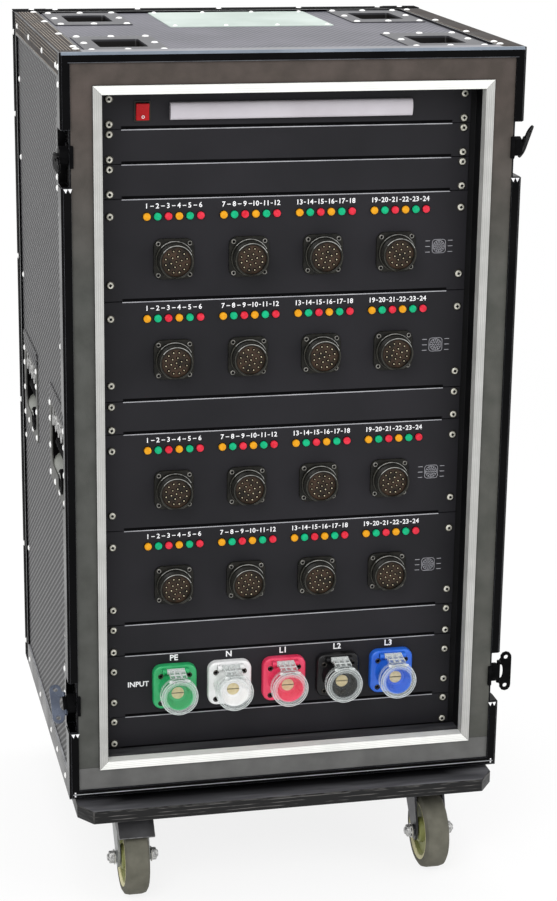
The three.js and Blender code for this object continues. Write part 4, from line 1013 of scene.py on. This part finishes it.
def input_legend():
    """The names above the input sockets, and the word at their left."""
    build = Build("input_legend")
    for name in INPUTS:
        x = middle(f"input_socket_{name}").x - (3.0 if name == "l3" else 0.0)
        at = on_front(x, span("input_panel")[1].z - 7.3, LETTER_PLANE)
        build.copy(letters(name.upper(), 8.4), at, LEGEND)
    word = on_front(-199.0, middle("input_panel").z + 1.5, LETTER_PLANE)
    build.copy(letters("INPUT", 7.4), word, LEGEND)
    build.done("case", "panel")


for name in INPUTS:
    input_socket(name)
    input_lid(name)
input_legend()


# Front trim and floor of the sleeve
TRIM_FACE, TRIM_LEG = 11.3, 16.0


def sleeve_floor():
    """The satin floor board in front of the lowest panel."""
    build = Build("sleeve_floor_board")
    half = sleeve_high.x - 9.0
    low = sleeve_low.z + 9.0
    build.block((-half, sleeve_low.y + TRIM_LEG, low), (half, panel_plane, low + 0.4), FLOOR_BOARD)
    build.done("case", "birch")


def sleeve_trim():
    """Silver angle round the mouth of the sleeve: a face strip and a leg inside, mitred at the corners."""
    outer_x, inner_x = sleeve_high.x, sleeve_high.x - TRIM_FACE
    outer_low, outer_high = sleeve_low.z, sleeve_high.z
    inner_low, inner_high = outer_low + TRIM_FACE, outer_high - TRIM_FACE
    at = on_front(0, 0, sleeve_low.y + 0.9)
    front, back, sheet = sleeve_low.y + 0.5, sleeve_low.y + TRIM_LEG, 0.9
    # The level pieces take the painted lit copy of the trim, the upright pieces the painted shaded copy.
    level, upright = Build("trim_level"), Build("trim_upright")
    for way, low, high in ((-1, outer_high, inner_high), (1, outer_low, inner_low)):
        shape = [(-outer_x, low), (outer_x, low), (inner_x, high), (-inner_x, high)]
        level.prism(shape[::way], 0, 1.0, at, TRIM_PAINTED_LIT, soft=0.3)
        level.block((-inner_x, front, high), (inner_x, back, high - way * sheet), TRIM_PAINTED_LIT)
    for sign in (-1, 1):
        outer, inner = sign * outer_x, sign * inner_x
        shape = [(outer, outer_low), (inner, inner_low), (inner, inner_high), (outer, outer_high)]
        upright.prism(shape[::-sign], 0, 1.0, at, TRIM_PAINTED_SHADE, soft=0.3)
        upright.block((inner, front, inner_low), (inner + sign * sheet, back, inner_high), TRIM_PAINTED_SHADE)
    level.done("case", "edging")
    upright.done("case", "edging")


sleeve_floor()
sleeve_trim()


# Edging of the case
LEG = 29.0
LATCH_DROPS, NOTCH_HALF, NOTCH_X = (74.0, 808.0), 37.0, 291.0
# Rivets of the rear lid: heights above its foot on the rim and on the face, and places across it
LID_RIM_HEIGHTS, LID_RIM_ACROSS = (30, 190, 420, 640, 850), (-274, -240, -120, 0, 120, 240, 274)
LID_FACE_HEIGHTS, LID_FACE_ACROSS, LID_FACE_EDGE = (60, 260, 500, 740), (-220, -110, 0, 110, 220), 284


def front_edging():
    """The rolled front edge: a painted highlight band along the top, and thin painted highlight lines above
    and below it.
    """
    build = Build("front_edging")
    top, low = edge_high.z, edge_low.z
    reach, front = edge_high.x - 2.6, front_plane
    # A pale blue band on the top bevel: painted highlight.
    band = [(0.1, -3.3), (3.0, -0.3), (6.5, -0.3), (6.5, 0.25), (2.8, 0.2), (-0.2, -3.2)]
    build.prism(band, -reach, reach, facing((0, front, top), RIGHT, UP), EDGE_HIGHLIGHT_BAND)
    half = reach - 8
    # A thin pale line under the band: worn edge and painted highlight.
    build.block((-half, front - 0.15, top - 12.6), (half, front + 0.4, top - 12.1), EDGE_WEAR_AND_HIGHLIGHT)
    half = reach - 2
    # A thin pale line near the foot: painted highlight.
    build.block((-half, front - 0.2, low + 6.8), (half, front + 0.4, low + 7.7), EDGE_HIGHLIGHT_LINE)
    for sign in (-1, 1):
        for z in (low + 5.0, low + 9.5):
            build.rivet(on_front(sign * (reach - 5), z, front), 1.2, 0.5, CUT_METAL)
    build.done("case", "edging")


def top_angles():
    """Angles along the top, ribbed on the left, the strip between them painted pale as a painted sheen, and
    painted highlight lines lower down.
    """
    build = Build("top_angles")
    top, side, skin = edge_high.z, edge_high.x, 0.12
    y0, y1 = front_plane + 9.0, rear_plane - 8.0
    line_z = case_low.z + LEG
    for sign in (-1, 1):
        inner, outer, face = sign * (side - LEG + 0.5), sign * (side - 1.4), sign * (side + skin)
        build.block((inner, y0, top - 0.3), (outer, y1, top + skin), CORNER)
        build.block((sign * (side - 0.3), y0 + 5, top - LEG + 0.5), (face, y1, top - 1.4), CORNER)
    for step in (5.0, 9.0, 13.0, 17.0, 21.5, 27.6):
        build.block((step - side - 0.35, y0 + 12, top), (step - side + 0.35, y1 - 6, top + 0.4), RIB)
    for step in (4.5, 9.0, 13.5, 18.0, 27.6):
        build.block((-side - 0.4, y0 + 8, top - step - 0.3), (-side, y1 - 6, top - step + 0.3), RIB)
    build.block((side - 27.9, y0 + 12, top), (side - 27.4, y1 - 6, top + 0.35), RIB)
    build.block((side - LEG - 0.3, y0, case_high.z - 0.2), (side - LEG + 0.6, y1, top + 0.1), CORNER)
    # Thin pale lines along the sides low down: painted highlights.
    for sign in (-1, 1):
        build.block((sign * (side - 2.6), y0, line_z - 0.3), (sign * side, y1, line_z + skin), EDGE_HIGHLIGHT_LINE)
    half = side - LEG - 0.5
    # The pale strip on the front leg of the top: painted sheen.
    build.block((-half, front_plane + 6.5, top - 0.3), (half, front_plane + LEG - 0.3, top + 0.1), TOP_STRIP_SHEEN)
    build.done("case", "edging")


def notch_ends():
    """Sawn ends of the hollow edging below each latch, and a dark strip of steel beside the latch."""
    build = Build("notch_ends")
    for drop in LATCH_DROPS:
        latch_z = span("light_panel")[1].z + PANEL_GAP / 2 - drop
        for sign in (-1, 1):
            for u in (-3.0, 2.6):
                at = on_front(sign * NOTCH_X + u, latch_z - NOTCH_HALF, front_plane)
                build.prism([(-2.7, 0.2), (0.4, -5.2), (2.7, 0.2)], -0.2, 0.4, at, CUT_METAL)
            low = (sign * 283.5, front_plane - 0.3, latch_z - 11.5)
            high = (sign * 288.4, front_plane + 14.0, latch_z + 16.5)
            build.block(low, high, BLACK_STEEL, soft=0.6)
    build.done("case", "edging")


def rear_edging():
    """Black edging round the rim of the rear lid, riveted, with a corner guard at each upper corner."""
    build = Build("lid_edging")
    low, high = span("rear_lid")
    y0, y1, proud, guard, radius = low.y + 0.6, high.y - 1.2, 0.5, 0.9, 4.2
    rim_y, lid_z = (y0 + y1) / 2, (low.z + high.z) / 2
    for sign in (-1, 1):
        edge = sign * high.x
        build.block((edge - sign * 0.2, y0, low.z + 2), (edge + sign * proud, y1, high.z - 2), RIM)
        for z in (*(low.z + rise for rise in LID_RIM_HEIGHTS), high.z - 30):
            build.rivet(on_side(sign, rim_y, z, high.x + proud), radius)
        start, end = edge - sign * 48, edge + sign * guard
        build.block((start, y0 - 0.2, high.z - 0.4), (end, y1 + 0.8, high.z + guard), RIM, soft=0.4)
    for z, way in ((low.z, -1), (high.z, 1)):
        build.block((low.x + 2, y0, z - way * 0.2), (high.x - 2, y1, z + way * proud), RIM)
    for x in LID_RIM_ACROSS:
        build.rivet(on_top(x, rim_y, high.z + (guard if abs(x) > 250 else proud)), radius)
    left, right, foot, head = low.x + 1, high.x - 1, low.z + 1, high.z - 1
    outline = [(right, foot), (right, head), (left, head), (left, foot)]
    inner = [(u * 0.91, lid_z + (v - lid_z) * 0.946) for u, v in outline]
    build.pierced(outline, inner, 0, 0.6, facing((0, high.y, 0), BACK, UP), EDGING)
    heights = (*(low.z + rise for rise in LID_FACE_HEIGHTS), high.z - 60)
    upright = [(u, z) for u in (-LID_FACE_EDGE, LID_FACE_EDGE) for z in heights]
    level = [(u, z) for z in (low.z + 14, high.z - 14) for u in LID_FACE_ACROSS]
    for u, z in upright + level:
        build.rivet(facing((u, high.y + 0.6, z), BACK, UP), radius, 1.6)
    build.done("rear_lid", "edging")


front_edging()
top_angles()
notch_ends()
rear_edging()


# Rivets of the case: distances from its front, from its top, and how far they stand out
TOP_RIVET_X = 274.5
TOP_RIVETS = {-1: (36, 61, 205, 359, 488), 1: (36, 61, 183, 330, 478)}
SIDE_RIVETS = ((45.5, 157.0, 1.5), (45.5, 171.0, 1.5), (40.0, 204.0, 0.0), (49.0, 377.5, 0.0),
               (40.0, 773.0, 0.0), (45.5, 822.0, 1.5), (45.5, 857.0, 1.5))
LEG_RIVETS = ((11.0, 18.5), (11.8, 40.0), (32.0, 18.5), (174.5, 17.0), (327.0, 17.0), (470.0, 17.0))
LOW_RIVETS, REAR_RIVETS = (44.0, 131.0, 199.0, 330.0, 470.0), (90, 202, 375, 464, 620, 800)


def between(low, high, margin, share):
    """A place between low and high, at -1 and 1 half the margin from the ends."""
    return (low + high) / 2 + share * (high - low - margin) / 2


def case_rivets():
    """Rivets of the edging, the side walls, the stacking cups and the handle dishes."""
    build = Build("case_rivets")
    top, side, small = edge_high.z, edge_high.x, 4.2
    for sign, depths in TOP_RIVETS.items():
        for depth in depths:
            build.rivet(on_top(sign * TOP_RIVET_X, front_plane + depth, top))
    for sign in (-1, 1):
        for depth, drop in LEG_RIVETS:
            build.rivet(on_side(sign, front_plane + depth, top - drop, side), small)
        for depth in LOW_RIVETS:
            build.rivet(on_side(sign, front_plane + depth, edge_low.z + 17.0, side), small)
        for depth, drop, proud in SIDE_RIVETS:
            build.rivet(on_side(sign, front_plane + depth, case_high.z - drop, outer_half + proud), small)
        for drop in REAR_RIVETS:
            build.rivet(on_side(sign, rear_plane - 22.0, case_high.z - drop, outer_half), small)
    for end, corner_side in CORNERS:
        low, high = span(f"stacking_cup_{end}_{corner_side}")
        for u in (-1, 0, 1):
            for v in (-1, 0, 1):
                if u or v:
                    x, y = between(low.x, high.x, 16, u), between(low.y, high.y, 14, v)
                    build.rivet(on_top(x, y, high.z))
        low, high = span(f"handle_dish_{end}_{corner_side}")
        for u in (-1, -0.33, 0.33, 1):
            for v in (-1, -0.33, 0.33, 1):
                if abs(u) == 1 or v == -1:
                    y = between(low.y, high.y, 16, u)
                    z = between(low.z, high.z, 16, v) - (16.0 if v == 1 else 0.0)
                    build.rivet(on_side(SIDES[corner_side], y, z, outer_half + 1.5), 4.4)
    build.done("case", "zinc")


def top_label():
    """A pale plate riveted to the top, left bare."""
    build = Build("label_plate")
    at = on_top(5.0, front_plane + 394.0, case_high.z)
    build.prism(rounded(230, 192, 5), 0, 1.2, at, LABEL, soft=0.4)
    for u in (-107, -36, 36, 107):
        for v in (-88, 88):
            build.rivet(moved(at, u, v, 1.2), 3.4)
    build.done("case", "zinc")


case_rivets()
top_label()


# Wheels
TYRE = [(39.5, -14.0), (40.5, -16.0), (47.0, -16.8), (51.5, -14.0), (53.0, -8.5),
        (53.0, 8.5), (51.5, 14.0), (47.0, 16.8), (40.5, 16.0), (39.5, 14.0)]
WHEEL_HUB = [(6.3, -17.0), (15.0, -17.0), (17.0, -15.5), (18.0, -10.5), (33.0, -9.5), (36.0, -13.0),
             (40.0, -14.5), (40.0, 14.5), (36.0, 13.0), (33.0, 9.5), (18.0, 10.5), (17.0, 15.5),
             (15.0, 17.0), (6.3, 17.0)]


def castor_wheel(end, side):
    """A rubber tyre on a moulded hub, with a pale band on each side."""
    node = f"castor_wheel_{end}_{side}"
    at = facing(middle(node), RIGHT, UP)
    build = Build(f"{node}_tyre")
    build.ring(TYRE, at, TREAD, 64)
    build.ring(WHEEL_HUB, at, HUB, 48)
    for way in (-1, 1):
        band = [(36.5, way * 13.2), (41.8, way * 15.6), (41.4, way * 16.4), (36.5, way * 14.4)]
        build.ring(band, at, CREAM, 48)
    build.done(f"wheel_{end}_{side}", "wheel", [node])


def castor_fittings(end, side):
    """A washer, a hexagon nut and a bolt end on each side of the fork."""
    build = Build(f"castor_fittings_{end}_{side}")
    low, high = span(f"castor_fork_{end}_{side}")
    axle = middle(f"castor_wheel_{end}_{side}")
    for way, x in ((-1, low.x), (1, high.x)):
        at = facing((x, axle.y, axle.z), RIGHT * way, UP)
        build.disc(10.5, -3.0, -1.8, at, ZINC, 28)
        build.prism(ring_points(8.6, 6), -2.0, 5.0, at, BOLT_AND_GLINT, soft=1.4)
        build.lathe([(0, 4.6), (5.0, 4.6), (5.0, 6.4), (4.2, 7.2), (0, 7.2)], at, BOLT_AND_GLINT, 20)
    build.done(f"castor_{end}_{side}", "zinc")


for end, side in CORNERS:
    castor_wheel(end, side)
for end, side in CORNERS:
    castor_fittings(end, side)


# Handles
HINGE_LUGS = ((-58.8, 6.4), (-28.0, 27.0), (0.0, 27.0), (28.0, 27.0), (58.8, 6.4))


def handle_dishes():
    """Hinge lugs with painted highlights on their edges, a lip painted pale as painted light, a round stop
    with a painted glint on each dish, and the laminate over its upper flange.
    """
    build = Build("handle_trim")
    for end, side in CORNERS:
        sign = SIDES[side]
        centre = middle(f"handle_dish_{end}_{side}")
        at = on_side(sign, centre.y, centre.z)
        for u, wide in HINGE_LUGS:
            half = wide / 2
            lug = [(u - half, 43.0), (u - half, 26.0), (u, 12.0), (u + half, 26.0), (u + half, 43.0)]
            build.prism(lug, -3.5, -1.2, at, HINGE)
            # Thin bright bars along the lug edges: painted highlights.
            for first, second in zip(lug[1:], lug[2:]):
                build.tube([at @ Vector((*first, -0.8)), at @ Vector((*second, -0.8))], 0.9, BOLT_AND_GLINT, 6)
            if wide > 9.0:
                eyelet = moved(at, u, 30.0)
                build.ring([(3.2, -1.4), (4.8, -1.4), (4.6, 1.0), (3.8, 1.4), (3.2, 1.0)], eyelet, BOLT_AND_GLINT, 16)
                # A dark disc in the eyelet: painted shade of its hole.
                build.disc(3.2, -1.6, -0.9, eyelet, BLACK_AND_PAINTED_SHADE, 12)
        build.prism(rounded(164, 24.6, 9, 0, 56.4), 0.0, 1.9, at, LAMINATE_STRIP, soft=1.3)
        along = at @ facing((-61.0, 0, 0), -RIGHT, BACK)
        # The lower lip, painted pale grey: painted light on its upward slope.
        lip = [(-0.2, -41.0), (-1.2, -36.0), (-4.5, -31.0), (-12.0, -25.0), (-13.5, -27.0), (-13.5, -41.0)]
        build.prism(lip, -122.0, 0, along, DISH_LIP_PAINTED_LIGHT)
        stop = moved(at, -sign * 44.0, -36.0)
        disc = [(0, -1.0), (17.0, -1.0), (17.0, 2.6), (15.5, 4.0), (8.0, 4.0), (7.0, 2.0), (0, 2.0)]
        build.lathe(disc, stop, BLACK_AND_PAINTED_SHADE, 28)
        # A bright arc on the stop: a painted glint.
        build.tube(arc(stop, 11.5, range(40, 131, 15), 3.9), 0.9, GLINT, 6)
    build.done("case", "zinc")


def handle_grip(end, side):
    """A ribbed black roll on a bent steel bar, with an eye round each end of the hinge pin."""
    node = f"handle_grip_{end}_{side}"
    low, high = span(node)
    x, y, _ = middle(node)
    pin_z, bar_z = high.z - 6.0, low.z + 10.0
    build = Build(f"{node}_bar")
    roll = [(0, 0), (9.0, 0), (10.0, 1.5)]
    for i in range(9):
        start = 4.0 + i * 8.0
        roll += [(10.0, start), (9.2, start + 1.0), (9.2, start + 2.6), (10.0, start + 3.6)]
    roll += [(10.0, 74.5), (9.0, 76.0), (0, 76.0)]
    build.lathe(roll, facing((x, y - 38.0, bar_z), BACK, UP), BLACK_AND_PAINTED_SHADE, 28)
    for way in (-1, 1):
        bends = ((36.0, bar_z), (44.0, bar_z), (48.5, bar_z + 3.0), (49.0, bar_z + 8.0), (49.0, pin_z))
        build.tube([(x, y + way * out, z) for out, z in bends], 3.4, BLACK_STEEL, 12)
        eye = facing((x, y + way * 49.0 - 3.0, pin_z), BACK, UP)
        build.ring([(4.4, 0), (6.6, 0), (6.6, 6.0), (4.4, 6.0)], eye, BLACK_STEEL, 20)
    build.done(f"grip_{end}_{side}", "zinc", [node])


handle_dishes()
for end, side in CORNERS:
    handle_grip(end, side)


# Stage, light and camera
FLOOR_HALF = 12.0
CAMERA_PLACE = (-0.638743, -2.982392, 1.472694)
CAMERA_YAW, CAMERA_PITCH, CAMERA_ROLL = 0.2232955, 0.2919662, 0.0138235
FOCAL_PIXELS, PICTURE_PIXELS, SENSOR = 2229.93, 901, 36.0
# Each lamp's name, place, target, width and height in metres, and watts
STUDIO_LAMPS = (
    ("key", (-1.6, -3.0, 3.0), (0, 0, 0.7), (2.2, 2.2), 70),
    ("fill", (2.6, -2.4, 1.6), (0, 0, 0.6), (2.0, 2.0), 25),
    ("top_light", (0.2, 0.8, 3.2), (0, 0, 1.1), (2.4, 1.6), 40),
)


def seen_directly(tree):
    """1 for rays from the camera, and for those it sees in gloss and through glass."""
    path = tree.nodes.new("ShaderNodeLightPath")
    both = calc(tree, "MAXIMUM", path.outputs["Is Camera Ray"], path.outputs["Is Glossy Ray"])
    return calc(tree, "MAXIMUM", both, path.outputs["Is Transmission Ray"])


def blended(tree, share, first, second, output):
    """Sends a mix of two shaders to the output node."""
    mix = tree.nodes.new("ShaderNodeMixShader")
    for place, value in enumerate((share, first, second)):
        tree.links.new(value, mix.inputs[place])
    tree.links.new(mix.outputs["Shader"], tree.nodes[output].inputs["Surface"])


def floor_finish():
    """Pale matt floor with the object's soft shadow, seen near white and whiter with distance."""
    material, tree, shader = shader_for("floor", 0.9, specular=0.2)
    shader.inputs["Base Color"].default_value = (0.97, 0.97, 0.97, 1)
    glow = tree.nodes.new("ShaderNodeEmission")
    glow.inputs["Color"].default_value = (1, 1, 1, 1)
    glow.inputs["Strength"].default_value = 1.0
    reach = tree.nodes.new("ShaderNodeVectorMath")
    reach.operation = "LENGTH"
    tree.links.new(tree.nodes.new("ShaderNodeNewGeometry").outputs["Position"], reach.inputs[0])
    whiten = ranged(tree, reach.outputs["Value"], 0.7, 3.0, 0.84, 1.0)
    share = calc(tree, "MULTIPLY", seen_directly(tree), whiten)
    blended(tree, share, shader.outputs["BSDF"], glow.outputs["Emission"], "Material Output")
    return material


def stage():
    """The floor that the object stands on."""
    data = bpy.data.meshes.new("floor")
    corners = [(x * FLOOR_HALF, y * FLOOR_HALF, 0) for x, y in ((-1, -1), (1, -1), (1, 1), (-1, 1))]
    data.from_pydata(corners, [], [(0, 1, 2, 3)])
    data.materials.append(floor_finish())
    linked("floor", data)


def lamp_panel(name, place, target, size, watts):
    """A rectangular area light, aimed at a target."""
    data = bpy.data.lights.new(name, "AREA")
    data.shape = "RECTANGLE"
    data.size, data.size_y = size
    data.energy = watts
    light = linked(name, data)
    light.location = place
    light.rotation_mode = "QUATERNION"
    light.rotation_quaternion = (Vector(target) - Vector(place)).to_track_quat("-Z", "Y")


def lights():
    """A white surround, dimmer as a light than as it is seen, and three large lamps."""
    world = bpy.data.worlds.new("studio")
    world.use_nodes = True
    tree = world.node_tree
    background = tree.nodes["Background"]
    white = tree.nodes.new("ShaderNodeBackground")
    for node, strength in ((background, 0.75), (white, 1.0)):
        node.inputs["Color"].default_value = (1, 1, 1, 1)
        node.inputs["Strength"].default_value = strength
    lit, shown = background.outputs["Background"], white.outputs["Background"]
    blended(tree, seen_directly(tree), lit, shown, "World Output")
    bpy.context.scene.world = world
    for lamp_sizes in STUDIO_LAMPS:
        lamp_panel(*lamp_sizes)


def camera():
    """The camera fitted to the photograph."""
    yaw, pitch, roll = CAMERA_YAW, CAMERA_PITCH, CAMERA_ROLL
    forward = Vector((math.sin(yaw) * math.cos(pitch), math.cos(yaw) * math.cos(pitch), -math.sin(pitch)))
    right = Vector((math.cos(yaw), -math.sin(yaw), 0))
    up = right.cross(forward)
    right, up = right * math.cos(roll) + up * math.sin(roll), up * math.cos(roll) - right * math.sin(roll)
    data = bpy.data.cameras.new("camera")
    data.sensor_width = SENSOR
    data.lens = FOCAL_PIXELS / PICTURE_PIXELS * SENSOR
    data.clip_start, data.clip_end = 0.05, 60
    made = linked("camera", data)
    turn = Matrix((right, up, -forward)).transposed().to_4x4()
    made.matrix_world = Matrix.Translation(CAMERA_PLACE) @ turn
    bpy.context.scene.camera = made


stage()
lights()
camera()
bpy.context.scene.view_settings.view_transform = "Standard"
